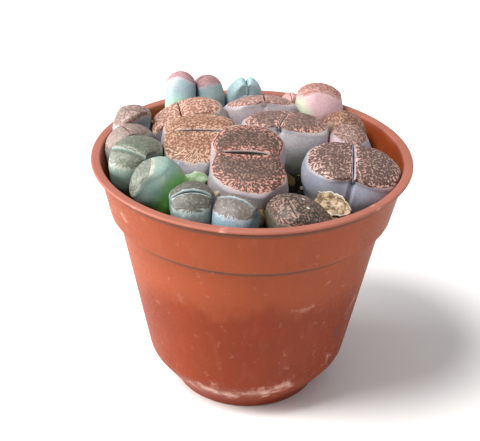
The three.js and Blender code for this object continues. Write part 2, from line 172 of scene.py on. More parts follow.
def nearest_stone(points: Array, size: float, seed: int = 0) -> Array:
    """Measure how far each point lies from the nearest of randomly strewn stones.

    One stone lies at a random place in each lattice cell. The result is the smallest distance
    to the stones of the 27 cells around the point, as a share of the cell size.

    Args:
        points: Places in millimetres, with the last axis of length 3.
        size: Cell size in millimetres.
        seed: Which scatter of stones.

    Returns:
        Distances, 0 at a stone.
    """
    place = points / size
    cell = np.floor(place)
    least = np.full(points.shape[:-1], 9.0)
    for step in np.ndindex(3, 3, 3):
        there = cell + np.array(step) - 1.0
        stone = columns(*(scrambled(there, seed + 31 * axis) for axis in range(3)))
        least = np.minimum(least, np.linalg.norm(there + stone - place, axis=-1))
    return least


# -------------------------------------------------------------------- mesh helpers
def ring_faces(count: int, sides: int, wrap: bool) -> Array:
    """Join each ring of points to the next with quads that face outwards.

    Args:
        count: How many rings there are.
        sides: Points in a ring, clockwise seen from above.
        wrap: Whether the last ring joins the first one too.

    Returns:
        Quads as rows of four indices.
    """
    ring = np.arange(count if wrap else count - 1)[:, None] * sides
    below = (ring + sides) % (count * sides)
    side = np.arange(sides)[None, :]
    after = (side + 1) % sides
    return columns(ring + side, ring + after, below + after, below + side).reshape(-1, 4)


class Closing(Enum):
    """How a surface made of rings ends at one of its ends."""

    FOLD = "the ring is pressed flat to a line, and its two halves are welded"
    POINT = "the ring is closed with a fan to one point at its middle"
    OPEN = "the last ring joins the first one"


def ring_surface(rings: Array, start: Closing, end: Closing) -> tuple[Array, Faces]:
    """Make one closed surface from a stack of rings.

    Args:
        rings: Points by ring, side and axis.
        start: How the first ring closes.
        end: How the last ring closes.

    Returns:
        The points, and the faces as tuples of indices.
    """
    count, sides = rings.shape[:2]
    points = rings.reshape(-1, 3)
    faces = [ring_faces(count, sides, wrap=end is Closing.OPEN)]
    extra = []
    side = np.arange(sides)
    after = (side + 1) % sides
    if start is Closing.POINT:
        faces.append(columns(len(points), after, side))
        extra.append(rings[0].mean(axis=0))
    if end is Closing.POINT:
        last = (count - 1) * sides
        faces.append(columns(last + side, last + after, len(points) + len(extra)))
        extra.append(rings[-1].mean(axis=0))
    if extra:
        points = np.vstack([points, np.array(extra)])
    if start is Closing.FOLD:
        welded = np.arange(len(points))
        welded[:sides] = np.minimum(side, (sides - side) % sides)
        faces = [welded[part] for part in faces]
    return points, [tuple(face) for part in faces for face in part.tolist()]


def without_spares(points: Array, faces: Faces) -> tuple[Array, Faces, Array]:
    """Drop the points that no face uses.

    Args:
        points: All points.
        faces: Faces as tuples of indices.

    Returns:
        The points kept, the faces with their new indices, and the old index of each point kept.
    """
    flat = np.concatenate([np.array(face) for face in faces]) if faces else np.zeros(0, int)
    kept = np.unique(flat)
    lookup = np.zeros(len(points), int)
    lookup[kept] = np.arange(len(kept))
    fresh = lookup[flat]
    sizes = np.array([len(face) for face in faces])
    ends = np.cumsum(sizes)
    renamed = [tuple(fresh[end - size : end].tolist()) for size, end in zip(sizes, ends)]
    return points[kept], renamed, kept


def make_piece(
    name: str,
    points: Array,
    faces: Faces,
    node: str | None = None,
    marks: dict[str, Array] | None = None,
) -> bpy.types.Object:
    """Make a smooth mesh object that rides with the part.

    Args:
        name: Name of the object.
        points: Points in millimetres.
        faces: Faces as tuples of indices, facing outwards.
        node: The CAD node that the piece stands for, if any.
        marks: Numbers or vectors for each point that the material reads, by name.

    Returns:
        The new object.
    """
    kept_points, kept_faces, kept = without_spares(points, faces)
    mesh = bpy.data.meshes.new(name)
    mesh.from_pydata((kept_points * MM).tolist(), [], kept_faces)
    mesh.polygons.foreach_set("use_smooth", np.ones(len(mesh.polygons), bool))
    for label, values in (marks or {}).items():
        set_mark(mesh, label, values[kept])
    mesh.validate()
    mesh.update()
    piece = bpy.data.objects.new(name, mesh)
    bpy.context.scene.collection.objects.link(piece)
    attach(piece, "root")
    if node:
        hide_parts(node)
    LOG.info("%s: %d points, %d faces", name, len(mesh.vertices), len(mesh.polygons))
    return piece


def set_mark(mesh: bpy.types.Mesh, label: str, values: Array) -> None:
    """Store a number or a vector at every point of a mesh.

    Args:
        mesh: The mesh.
        label: Name that a material's Attribute node reads.
        values: One number, or three, for each point.
    """
    kind = "FLOAT_VECTOR" if values.ndim == 2 else "FLOAT"
    mark = mesh.attributes.new(label, kind, "POINT")
    key = "vector" if values.ndim == 2 else "value"
    mark.data.foreach_set(key, np.ascontiguousarray(values, np.float32).ravel())


def grid_normals(rings: Array) -> Array:
    """Find the outward unit normal at each point of a stack of rings.

    It is the cross product of the step along the ring and the step to the next ring.

    Args:
        rings: Points by ring, side and axis.

    Returns:
        Unit vectors of the same shape.
    """
    along = np.roll(rings, -1, axis=1) - np.roll(rings, 1, axis=1)
    down = np.gradient(rings, axis=0)
    normal = np.cross(down, along)
    size = np.linalg.norm(normal, axis=-1, keepdims=True)
    return normal / np.maximum(size, 1e-9)


# ---------------------------------------------------------------- material helpers
class NodeSheet:
    """A material's nodes, written as short sums of sockets."""

    BAND_END = 0.0003
    FLESH_RADIUS = (1.0, 0.55, 0.4)  # share of the flesh's depth that red, green and blue pass
    FLESH_DEPTH = 1.2  # millimetres

    def __init__(self, name: str) -> None:
        """Start an empty material with a Principled shader.

        Args:
            name: Name of the material.
        """
        self.material = bpy.data.materials.new(name)
        self.material.use_nodes = True
        self.nodes = self.material.node_tree.nodes
        self.links = self.material.node_tree.links
        self.shader = self.nodes["Principled BSDF"]

    def feed(self, socket: Socket, value: Value) -> None:
        """Link a socket to a socket, or set it to a plain value.

        Args:
            socket: The socket that takes it.
            value: What it takes.
        """
        if isinstance(value, Socket):
            self.links.new(value, socket)
        else:
            socket.default_value = value

    def place(self) -> Socket:
        """Return the point's own place in the part, in metres."""
        return self.nodes.new("ShaderNodeTexCoord").outputs["Object"]

    def mark(self, label: str, vector: bool = False) -> Socket:
        """Return a number or vector stored at the mesh's points.

        Args:
            label: Name it is stored under.
            vector: Whether it is a vector.

        Returns:
            The socket.
        """
        node = self.nodes.new("ShaderNodeAttribute")
        node.attribute_name = label
        return node.outputs["Vector" if vector else "Fac"]

    def parts(self, vector: Value) -> tuple[Socket, ...]:
        """Return a vector's three parts.

        Args:
            vector: The vector.

        Returns:
            Its x, y and z.
        """
        node = self.nodes.new("ShaderNodeSeparateXYZ")
        self.feed(node.inputs["Vector"], vector)
        return tuple(node.outputs)

    def scaled(self, vector: Value, scale: tuple[float, float, float]) -> Socket:
        """Return a vector stretched along its axes.

        Args:
            vector: The vector.
            scale: Factor along each axis.

        Returns:
            The stretched vector.
        """
        node = self.nodes.new("ShaderNodeMapping")
        self.feed(node.inputs["Vector"], vector)
        node.inputs["Scale"].default_value = scale
        return node.outputs["Vector"]

    def cloud(self, vector: Value, scale: float, detail: float = 3.0, rough: float = 0.5) -> Socket:
        """Return soft noise from 0 to 1.

        Args:
            vector: Where it is read.
            scale: Hills for each unit of the vector.
            detail: How many finer layers it has.
            rough: How strong the finer layers are.

        Returns:
            The noise socket.
        """
        node = self.nodes.new("ShaderNodeTexNoise")
        self.feed(node.inputs["Vector"], vector)
        node.inputs["Scale"].default_value = scale
        node.inputs["Detail"].default_value = detail
        node.inputs["Roughness"].default_value = rough
        return node.outputs["Fac"]

    def cells(self, vector: Value, scale: float) -> Socket:
        """Return the distance to the nearest of scattered points, in cells.

        Args:
            vector: Where it is read.
            scale: Cells for each unit of the vector.

        Returns:
            The distance socket.
        """
        node = self.nodes.new("ShaderNodeTexVoronoi")
        self.feed(node.inputs["Vector"], vector)
        node.inputs["Scale"].default_value = scale
        return node.outputs["Distance"]

    def beads(self, vector: Value, scale: float) -> Socket:
        """Return soft noise that dips between even-sized cells, so that it breaks into beads.

        Args:
            vector: Where it is read.
            scale: Cells for each unit of the vector.

        Returns:
            The sum: noise + 0.3 * (0.42 - distance to the nearest cell).
        """
        apart = self.sum("MULTIPLY_ADD", self.cells(vector, scale), -0.3, 0.126)
        return self.sum("ADD", self.cloud(vector, 1.35 * scale, 0.6), apart)

    def sum(self, operation: str, first: Value, second: Value = 0.0, third: Value = 0.0) -> Socket:
        """Return a Math node's result.

        Args:
            operation: The node's operation, such as ADD.
            first: First term.
            second: Second term.
            third: Third term, where the operation has one.

        Returns:
            The result socket.
        """
        node = self.nodes.new("ShaderNodeMath")
        node.operation = operation
        for socket, value in zip(node.inputs, (first, second, third)):
            self.feed(socket, value)
        return node.outputs["Value"]

    def ramp(self, value: Value, low: Value, high: Value, start: Value = 0.0, end: Value = 1.0) -> Socket:
        """Return a smooth step of a value between two limits.

        Args:
            value: The value.
            low: Where the step starts.
            high: Where it ends.
            start: Result at low.
            end: Result at high.

        Returns:
            The stepped socket.
        """
        node = self.nodes.new("ShaderNodeMapRange")
        node.interpolation_type = "SMOOTHSTEP"
        entries = {"Value": value, "From Min": low, "From Max": high, "To Min": start, "To Max": end}
        for label, entry in entries.items():
            self.feed(node.inputs[label], entry)
        return node.outputs["Result"]

    def band(self, value: Value, low: float, full: float, end: float) -> Socket:
        """Return 1 from full to end, falling off to 0 at low and within BAND_END past the end."""
        rise = self.ramp(value, low, full)
        return self.sum("MULTIPLY", rise, self.ramp(value, end, end + self.BAND_END, 1.0, 0.0))

    def swayed(self, value: Value, wave: Socket, reach: float) -> Socket:
        """Return value + reach * (wave - 0.5): a value that noise moves both ways."""
        return self.sum("MULTIPLY_ADD", self.sum("SUBTRACT", wave, 0.5), reach, value)

    def mix(self, share: Value, first: Value, second: Value, blend: str = "MIX") -> Socket:
        """Return two colours mixed.

        Args:
            share: How much of the second colour.
            first: First colour.
            second: Second colour.
            blend: How they mix.

        Returns:
            The colour socket.
        """
        node = self.nodes.new("ShaderNodeMix")
        node.data_type = "RGBA"
        node.blend_type = blend
        self.feed(node.inputs[0], share)
        self.feed(node.inputs[6], first)
        self.feed(node.inputs[7], second)
        return node.outputs[2]

    def finish(
        self,
        colour: Value,
        roughness: Value,
        height: Socket | None = None,
        rise: float = 0.1,
        flesh: float = 0.0,
        gloss: float = 0.5,
    ) -> bpy.types.Material:
        """Wire the shader.

        Args:
            colour: Base colour.
            roughness: Roughness.
            height: Relief from 0 to 1, or nothing.
            rise: Height of the relief in millimetres.
            flesh: How much light passes under the skin.
            gloss: Specular level.

        Returns:
            The material.
        """
        self.feed(self.shader.inputs["Base Color"], colour)
        self.feed(self.shader.inputs["Roughness"], roughness)
        self.shader.inputs["Specular IOR Level"].default_value = gloss
        if flesh:
            self.shader.inputs["Subsurface Weight"].default_value = flesh
            self.shader.inputs["Subsurface Radius"].default_value = self.FLESH_RADIUS
            self.shader.inputs["Subsurface Scale"].default_value = self.FLESH_DEPTH * MM
        if height is not None:
            bump = self.nodes.new("ShaderNodeBump")
            bump.inputs["Distance"].default_value = rise * MM
            self.feed(bump.inputs["Height"], height)
            self.links.new(bump.outputs["Normal"], self.shader.inputs["Normal"])
        return self.material


# --------------------------------------------------------------------- leaf finish
@dataclass(frozen=True)
class LeafFinish:
    """Colours and pattern of one leaf pair. Sizes are in millimetres."""

    window: Colour
    window_deep: Colour
    groove: Colour  # between the islands near the face's edge
    island: Colour
    heart: Colour  # islands in the middle of a face
    border: Colour
    skin: Colour
    skin_low: Colour
    flush: Colour | None = None  # of the patch, where the pair has one
    depths: Colour = rgb(84, 84, 78)  # inside the fissure
    crumb: Colour = rgb(232, 228, 220)
    spacing: float = 1.1  # between islands
    stretch: float = 0.55  # length of the edge's dashes: lower is longer
    centre: float = 0.52  # level that islands pass in the middle of a face: higher is sparser
    margin: float = 0.47  # the same at its edge
    belt: float = 4.0  # width of the edge zone
    jag: float = 0.35  # how far the face's edge wanders
    rim: float = 0.35  # width of the pale border
    gloss: float = 0.5
    roughness: float = 0.55
    relief: float = 0.14

    def material(self, name: str) -> bpy.types.Material:
        """Build the skin: windows and raised islands on the face, plain skin down the side.

        The islands are where beaded noise passes a level, which makes short worm-like blobs.
        The level goes from margin to centre inwards. Near the edge the noise is read round the
        leaf and inwards, stretched, so that the islands there are dashes across the edge.

        Args:
            name: Name of the material.

        Returns:
            The material.
        """
        sheet = NodeSheet(name)
        edge = sheet.mark("edge")
        rim = sheet.mark("rim")
        depth = sheet.mark("depth")
        around = sheet.mark("around", vector=True)
        place = sheet.place()
        fine = sheet.cloud(place, 1500.0, 4.0, 0.6)
        broad = sheet.cloud(place, 230.0, 3.0, 0.6)
        drawn = sheet.scaled(around, (1.0, 1.0, self.stretch))
        dashes = sheet.beads(drawn, 1.0 / self.spacing)
        spots = sheet.beads(place, 900.0 / self.spacing)
        inner = sheet.ramp(rim, 0.35 * self.belt, 0.9 * self.belt)
        blobs = sheet.sum("MULTIPLY_ADD", sheet.sum("SUBTRACT", spots, dashes), inner, dashes)
        level = sheet.ramp(rim, 0.3 * self.belt, 1.4 * self.belt, self.margin, self.centre)
        level = sheet.swayed(level, broad, 0.16)
        isle = sheet.ramp(sheet.sum("SUBTRACT", blobs, level), -0.03, 0.04)
        window = sheet.mix(sheet.ramp(rim, 0.3 * self.belt, 1.1 * self.belt), self.groove, self.window)
        marbled = sheet.sum("MULTIPLY_ADD", spots, 0.5, sheet.sum("MULTIPLY", broad, 0.5))
        window = sheet.mix(sheet.ramp(marbled, 0.44, 0.56), self.window_deep, window)
        raised = sheet.mix(sheet.ramp(rim, 0.4 * self.belt, 1.2 * self.belt), self.island, self.heart)
        island = sheet.mix(sheet.ramp(fine, 0.45, 0.85, 0.0, 0.6), raised, self.border)
        face = sheet.mix(isle, window, island)
        wander = sheet.cloud(around, 0.9, 2.0, 0.6)
        jagged = sheet.swayed(edge, wander, 4.0 * self.jag)
        skin = sheet.mix(sheet.ramp(depth, 3.0, 13.0), self.skin, self.skin_low)
        skin = sheet.mix(sheet.ramp(broad, 0.3, 0.75, 0.0, 0.35), skin, self.border)
        if self.flush:
            skin = sheet.mix(sheet.mark("flush"), skin, self.flush)
        bordered = sheet.mix(sheet.ramp(jagged, -2.2 * self.rim - 0.15, -0.4 * self.rim), skin, self.border)
        on_face = sheet.ramp(jagged, -0.12, 0.16)
        colour = sheet.mix(on_face, bordered, face)
        colour = sheet.mix(sheet.ramp(sheet.mark("slit"), 0.2, 0.9), colour, self.depths)
        colour = sheet.mix(sheet.mark("crumb"), colour, self.crumb)
        mottle = sheet.ramp(fine, 0.2, 0.8, 0.84, 1.14)
        shaded = sheet.mix(1.0, colour, mottle, "MULTIPLY")
        bumps = sheet.sum("MULTIPLY", isle, on_face)
        height = sheet.sum("MULTIPLY_ADD", fine, 0.4, bumps)
        rough = sheet.ramp(fine, 0.2, 0.8, self.roughness - 0.08, self.roughness + 0.08)
        return sheet.finish(shaded, rough, height, self.relief, flesh=0.12, gloss=self.gloss)


# ---------------------------------------------------------------------- leaf pairs
@dataclass(frozen=True)
class Flush:
    """A patch of another colour on a leaf pair, on one side of a plane."""

    bearing: float  # degrees from +X, seen from above
    climb: float  # degrees above level
    start: float  # millimetres from the pair's middle
    full: float  # where the colour is full


@dataclass(frozen=True)
class Plan:
    """What the rings of a fine body share. The arrays have an entry for each point of a ring."""

    angle: Array  # zero at one end of the fissure, clockwise
    edge: tuple[Array, Array]  # x and y of the shoulder's edge
    slit: Array  # half the opening of the fissure, with the sign of its side
    seam: Array  # place along the fissure
    ends: tuple[float, float]  # distance of the fissure's two ends from its middle
    inset: Array  # from the shoulder in to the face's edge
    lip: float  # radius of the fissure's lips
    shoulder: float  # depth of the rounded shoulder


@dataclass(frozen=True)
class LeafPair:
    """One lithops body: two leaves that meet at a fissure. Sizes are in millimetres."""

    name: str
    spot: tuple[float, float, float]  # middle of the fissure: x, y and height above the rim
    size: tuple[float, float, float]  # across both leaves, along the fissure, face to root tip
    turn: float  # bearing of the first leaf
    lean: tuple[float, float]  # tilt, and the bearing it tilts to
    halves: tuple[float, float]  # length of each leaf beside the even half
    notch: float  # dent at the fissure's ends
    slope: float  # fall of the faces
    crown: float  # depth of the rounded shoulder beside the length along the fissure
    sides: int  # sides of the CAD body, which the presses are found on
    slot: str
    finish: LeafFinish
    slit: float = 0.18  # half the opening of the fissure
    lip: float = 0.038  # radius of the fissure's lips beside the length along it
    span: tuple[float, float] = (1.0, 1.0)  # share of the fissure that is open, each way
    power: float = 2.1  # of the shoulder's superellipse: lower is rounder
    roll: float = 1.25  # depth of the shoulder beside the CAD body's
    inset: float = 1.2  # from the shoulder in to the face's edge
    slide: tuple[float, float] = (0.0, 0.0)  # more of it at the first leaf's tip, and at one end
    lips: float = 0.1  # plain skin beside the fissure's lips
    bow: float = 0.0  # how far the fissure is bent to the first leaf
    valley: float = 0.0  # depth of the shallow dip between the leaves
    dome: float = 0.4  # how much lower the shoulder is than the middle, on top of the rest
    lift: float = 0.4  # of the fine body's faces over the CAD body's
    dent_width: float = 0.3  # of the dent at the fissure's ends
    furrow: float = 0.6  # depth of the fissure past its open part, beside the lips
    cleft: float = 0.25  # share of the side that the fissure runs down
    crease: float = 0.7  # depth of the fissure there
    skew: float = 0.0  # how far the first leaf's tip is drawn along the fissure
    wrinkle: float = 0.0  # height of the folds on the side
    fine: int = 240  # points round the fine body
    flush: Flush | None = None
    specks: tuple[tuple[float, float], ...] = ()  # white crumbs, in the pair's own frame
    seed: int = 1

    ROOT_SHARE = 0.13  # width of the root's tip beside the shoulder's
    PRESS_SOFTNESS = 0.45
    CREASE_WIDTH = 0.9
    WALL_RISES = (0.0, 0.3, 0.6, 0.85)  # rings on the fissure's wall, from its foot to its lip
    WALL_SKIN = (-1.2, 9.0, 6.0)  # there: off the face, well inside its rim, and deep
    DEPTHS_SHARES = (1.0, 1.0, 1.0, 1.0, 0.8, 0.3)  # of the fissure's own colour on the first rings
    CRUMB = (0.75, 0.3)  # radius of a white crumb, and of its solid middle
    SWELL = 0.22  # height of the skin's soft swellings
    STREAKS = 0.04  # and of the streaks down its side

    def outline(self, angle: Array, dent: float, dent_width: float = 0.3) -> tuple[Array, Array]:
        """Give the edge of the pair at the shoulder.

        An oval a little squarer than an ellipse: sine and cosine to the power 0.86, each leaf with
        its own length, pulled in by dent * exp(-(sin / width)^2) at the fissure's ends.

        Args:
            angle: Angles, zero at one end of the fissure, clockwise.
            dent: Share that the ends are pulled in by.
            dent_width: Width of that dent.

        Returns:
            Distance across the leaves, and along the fissure.
        """
        s = np.sin(angle)
        c = np.cos(angle)
        leaf = np.where(s >= 0.0, self.halves[0], self.halves[1])
        widen = 1.0 + 0.4 * (leaf - 1.0) * np.minimum(1.0, 2.0 * np.abs(s))
        dented = 1.0 - dent * np.exp(-((s / dent_width) ** 2))
        x = self.size[0] / 2.0 * leaf * signed_power(s, 0.86)
        y = self.size[1] / 2.0 * widen * signed_power(c, 0.86) * dented
        return x, y

    def drawn_outline(self, angle: Array, dent: float) -> tuple[Array, Array]:
        """Give the fine body's edge, with the first leaf's tip drawn aside by skew * x^2 / half."""
        x, y = self.outline(angle, dent, self.dent_width)
        return x, y + self.skew * np.maximum(0.0, x) ** 2 / (0.5 * self.size[0])

    def fall(self, x: Array, y: Array) -> Array:
        """Return how far the face has dropped at a place, growing as x^1.8 and y^2."""
        half, along = self.size[0] / 2.0, self.size[1]
        return self.slope * (half * np.abs(x / half) ** 1.8 + 0.3 * along * (2.0 * y / along) ** 2)

    def domed(self, x: Array, y: Array) -> Array:
        """Return the fine body's dome: its drop grows as the distance from the middle to the 2.4.

        Args:
            x: Distance across the leaves.
            y: Distance along the fissure.

        Returns:
            Drops.
        """
        leaf = np.where(x >= 0.0, self.halves[0], self.halves[1])
        far = np.minimum(1.0, np.hypot(2.0 * x / (self.size[0] * leaf), 2.0 * y / self.size[1]))
        return self.dome * far**2.4

    def coarse_rings(self) -> Array:
        """Give the CAD body's rings: the fissure's bottom, five on the face, four on the side.

        Returns:
            Points in the pot's frame by ring, side and axis.
        """
        angle = 2.0 * np.pi * np.arange(self.sides) / self.sides
        across, along, tall = self.size
        half = across / 2.0
        shoulder = self.crown * along
        cleft = 0.17 * along
        rings = [columns(0.0, 0.4 * along * np.cos(angle), -cleft)]
        edge_x, edge_y = self.outline(angle, self.notch)
        for reach in (0.06, 0.2, 0.6, 0.88, 1.0):
            x = edge_x * reach + (1.0 - reach) * 0.03 * along * signed_power(np.sin(angle), 0.5)
            y = 0.42 * along * np.cos(angle) * (1.0 - reach) + edge_y * reach
            lip = 0.5 * cleft * np.exp(-np.abs(x) / (0.06 * half))
            rings.append(columns(x, y, -self.fall(x, y) - shoulder * reach**7 - lip))
        for down in (0.12, 0.36, 0.68, 1.0):
            x, y = self.outline(angle, self.notch * max(0.0, 1.0 - down / 0.5))
            start = -self.fall(x, y) - shoulder
            wide = self.side_width(np.array(down))
            rings.append(columns(x * wide, y * wide, start + (-tall - start) * down))
        return self.placed(np.array(rings))

    def side_width(self, down: Array) -> Array:
        """Return the width down the side: a low swell, times sqrt(1 - (1 - root^2) d^2.2)."""
        swell = 1.0 + 0.045 * np.sin(np.pi * np.minimum(1.0, down / 0.4))
        return swell * np.sqrt(1.0 - (1.0 - self.ROOT_SHARE**2) * down**2.2)

    def placed(self, rings: Array) -> Array:
        """Turn, lean and move points from the pair's own frame to the pot's.

        Args:
            rings: Points in the pair's frame.

        Returns:
            Points in the pot's frame.
        """
        lean, bearing = np.radians(self.lean)
        tilt = Vector((-np.sin(bearing), np.cos(bearing), 0.0))
        turned = Matrix.Rotation(lean, 3, tilt) @ Matrix.Rotation(np.radians(self.turn), 3, "Z")
        x, y, rise = self.spot
        return rings @ np.array(turned).T + np.array([x, y, RIM_HEIGHT + rise])

    def plan(self) -> Plan:
        """Work out what the fine body's rings share.

        The points of a ring lie closer together at the fissure's ends: angle = t - 0.2 sin(2t).

        Returns:
            The plan.
        """
        along = self.size[1]
        turns = 2.0 * np.pi * np.arange(self.fine) / self.fine
        angle = turns - 0.2 * np.sin(2.0 * turns)
        s = np.sin(angle)
        c = np.cos(angle)
        low, high = 0.42 * along * self.span[0], 0.42 * along * self.span[1]
        return Plan(
            angle=angle,
            edge=self.drawn_outline(angle, self.notch),
            slit=self.slit * s,
            seam=0.5 * (high - low) + 0.5 * (high + low) * c,
            ends=(low, high),
            inset=self.inset + self.slide[0] * s + self.slide[1] * c,
            lip=self.lip * along,
            shoulder=self.crown * along * self.roll,
        )

    def creased(self, plan: Plan, x: Array, y: Array, share: float) -> Array:
        """Return y drawn in to the middle by the crease: a bell across the fissure's line."""
        bell = np.exp(-((x / self.CREASE_WIDTH) ** 2))
        return y - np.sign(np.cos(plan.angle)) * (self.crease * share * bell)

    def wall_rows(self, plan: Plan) -> list[Array]:
        """Make the rings up the fissure's wall.

        Args:
            plan: What the rings share.

        Returns:
            For each ring x, y and z, the distance inside the face's edge and inside its rim
            alone, and the depth under the shoulder.
        """
        cleft = max(0.17 * self.size[1], plan.lip + 0.6)
        rows = []
        for rise in self.WALL_RISES:
            x = plan.slit * rise**0.5
            y = plan.seam * (0.93 + 0.05 * rise)
            z = -cleft + (cleft - plan.lip - self.fall(x, y)) * rise - self.valley - self.domed(x, y)
            rows.append(columns(x, y, z, *self.WALL_SKIN))
        return rows

    def face_rows(self, plan: Plan) -> list[Array]:
        """Make the rings over the fissure's lip and across the face to the shoulder.

        The lip is a quarter circle and the shoulder a superellipse. The valley is a bell across
        the fissure's line, which fades to the edge. Past the fissure's ends its lips become a
        furrow.

        Args:
            plan: What the rings share.

        Returns:
            The same columns as wall_rows.
        """
        edge_x, edge_y = plan.edge
        edge_far = np.hypot(edge_x, edge_y)
        low, high = plan.ends
        lip = plan.lip
        near = 0.5 * (np.arange(30) / 30.0) ** 1.7
        far = 0.5 + 0.5 * np.sin(0.5 * np.pi * np.arange(31) / 30.0)
        rows = []
        for reach in np.concatenate([near, far]):
            x = edge_x * reach + (1.0 - reach) * plan.slit
            y = plan.seam * (1.0 - reach) + edge_y * reach
            beyond = np.maximum(0.0, np.maximum(y - high, -low - y))
            groove = self.furrow + (1.0 - self.furrow) * smooth(-beyond, -2.2, 0.0)
            past = np.maximum(0.0, lip - np.maximum(0.0, np.abs(x) - np.abs(plan.slit)))
            drop = groove * (lip - np.sqrt(np.maximum(0.0, lip**2 - past**2)))
            bend = plan.shoulder * (1.0 - (1.0 - min(reach, 1.0) ** self.power) ** (1.0 / self.power))
            dip = self.valley * (1.0 - reach**4) * np.exp(-((x / (0.22 * self.size[0])) ** 2))
            z = -self.fall(x, y) - self.domed(x, y) - bend - drop - dip
            rim = edge_far * (1.0 - reach) - plan.inset
            from_slit = np.hypot(np.abs(x) - np.abs(plan.slit), beyond / (0.4 + self.furrow))
            edge = np.minimum(rim, 2.0 * (from_slit - 0.35 * lip - self.lips))
            depth = max(0.0, reach - 0.9) * 6.0
            y = self.creased(plan, x, y, reach**9)
            rows.append(columns(x, y, z, edge, np.minimum(rim, 1.8 * from_slit), depth))
        return rows

    def side_rows(self, plan: Plan) -> list[Array]:
        """Make the rings down the side to the root, where the crease fades out.

        Args:
            plan: What the rings share.

        Returns:
            The same columns as wall_rows.
        """
        tall = self.size[2]
        start = -self.fall(*plan.edge) - self.domed(*plan.edge) - plan.shoulder
        rows = []
        for down in (np.arange(1, 37) / 36.0) ** 1.25:
            x, y = self.drawn_outline(plan.angle, self.notch * max(0.0, 1.0 - down / 0.5))
            wide = self.side_width(np.array(down))
            fade = max(0.0, 1.0 - down / self.cleft) ** 0.8
            y = self.creased(plan, x, y * wide, fade)
            z = start + (-tall - start) * down
            depth = down * (tall + start)
            edge = -plan.inset - depth
            rows.append(columns(x * wide, y, z, edge, edge, 0.6 + depth))
        return rows

    def fine_rings(self) -> tuple[Array, dict[str, Array]]:
        """Work out the fine body in its own frame, and what its skin reads.

        The rows run up the fissure's wall, across the face and down the side. Then the middle
        of the fissure is bowed aside, and the upper body lifted.

        Returns:
            The rings, and for each point the distance inside the face's edge and inside its rim
            alone, the depth under the shoulder, the place read round the leaf, and the share of
            the fissure's own colour.
        """
        across, along, tall = self.size
        plan = self.plan()
        rows = np.array(self.wall_rows(plan) + self.face_rows(plan) + self.side_rows(plan))
        rings = rows[..., :3].copy()
        edge, rim, depth = np.moveaxis(rows[..., 3:], -1, 0)
        bent = np.maximum(0.0, 1.0 - (2.0 * rings[..., 1] / along) ** 2)
        rings[..., 0] += self.bow * bent * np.exp(-((rings[..., 0] / (0.3 * across)) ** 2))
        rings[..., 2] += self.lift * np.clip(1.0 + rings[..., 2] / (0.6 * tall), 0.0, 1.0)
        first_leaf = np.sin(plan.angle) >= 0.0
        leaf_x = np.where(first_leaf, self.halves[0], -self.halves[1]) * across * 0.26
        spin = np.arctan2(rings[..., 1], rings[..., 0] - leaf_x)
        mean = 0.27 * (across * 0.5 + along * 0.5)
        shift = np.where(first_leaf, 0.0, 40.0) + 3.7 * self.seed
        around = columns(mean * np.cos(spin), mean * np.sin(spin), rim + shift)
        slit = np.zeros(rim.shape)
        slit[: len(self.DEPTHS_SHARES)] = np.array(self.DEPTHS_SHARES)[:, None]
        return rings, {"edge": edge, "rim": rim, "depth": depth, "around": around, "slit": slit}

    def build(self, presses: Presses) -> bpy.types.Object:
        """Build the fine body, pressed by its neighbours, and dress it.

        The skin swells and shrinks by noise, and no point leaves the CAD model's box.

        Args:
            presses: Directions and levels that the body doesn't pass.

        Returns:
            The piece.
        """
        rings, marks = self.fine_rings()
        own = rings.copy()
        rings = pressed(self.placed(rings), presses)
        normal = grid_normals(rings)
        side = smooth(marks["depth"], 0.5, 3.0)
        free = np.ones(rings.shape[:2])
        free[: len(self.WALL_RISES) + 1] = 0.0
        swell = self.SWELL * noise(rings, 7.0, self.seed, 2) * smooth(np.abs(own[..., 0]), 0.3, 2.5)
        seams = columns(marks["around"][..., 0], marks["around"][..., 1], 0.12 * own[..., 2])
        streaks = self.STREAKS * noise(seams, 1.6, self.seed + 5, 2) * side
        folds = self.wrinkle * self.fold_height(own, marks["around"]) * side
        rings = rings + normal * ((swell + streaks + folds) * free)[..., None]
        low, high = (np.array(corner) / MM for corner in CAD_BOUNDS)
        rings = np.clip(rings, low, high)
        marks["flush"] = self.flush_share(own)
        marks["crumb"] = self.crumbs(own)
        points, faces = ring_surface(rings, Closing.FOLD, Closing.POINT)
        flat = {key: self.with_pole(value) for key, value in marks.items()}
        piece = make_piece(self.name + "_body", points, faces, self.name, flat)
        piece.data.materials.append(self.finish.material(self.name + "_skin"))
        return piece

    @staticmethod
    def with_pole(values: Array) -> Array:
        """Return a grid of values as a list, with one more for the point at the root tip."""
        flat = values.reshape(-1, *values.shape[2:])
        return np.concatenate([flat, flat[-1:]])

    def fold_height(self, own: Array, around: Array) -> Array:
        """Return folds of a shrunken skin: creases where slow noise crosses zero."""
        stretched = columns(around[..., 0], around[..., 1], 0.45 * own[..., 2])
        return 1.0 - 2.2 * np.sqrt(np.abs(noise(stretched, 4.2, self.seed + 9, 3)))

    def crumbs(self, own: Array) -> Array:
        """Return how far each point is into one of the white crumbs.

        Args:
            own: Points in the pair's frame.

        Returns:
            Shares from 0 to 1.
        """
        share = np.zeros(own.shape[:2])
        for x, y in self.specks:
            away = np.hypot(own[..., 0] - x, own[..., 1] - y)
            share = np.maximum(share, smooth(-away, -self.CRUMB[0], -self.CRUMB[1]))
        return share

    def flush_share(self, own: Array) -> Array:
        """Return how far each point is into the patch of another colour.

        Args:
            own: Points in the pair's frame.

        Returns:
            Shares from 0 to 1.
        """
        if self.flush is None:
            return np.zeros(own.shape[:2])
        bearing = np.radians(self.flush.bearing)
        climb = np.radians(self.flush.climb)
        level = np.cos(climb)
        way = np.array([level * np.cos(bearing), level * np.sin(bearing), np.sin(climb)])
        reach = (self.placed(own) - self.placed(np.zeros((1, 1, 3)))) @ way
        return smooth(reach + 0.8 * noise(own, 4.0, self.seed + 3, 3), self.flush.start, self.flush.full)


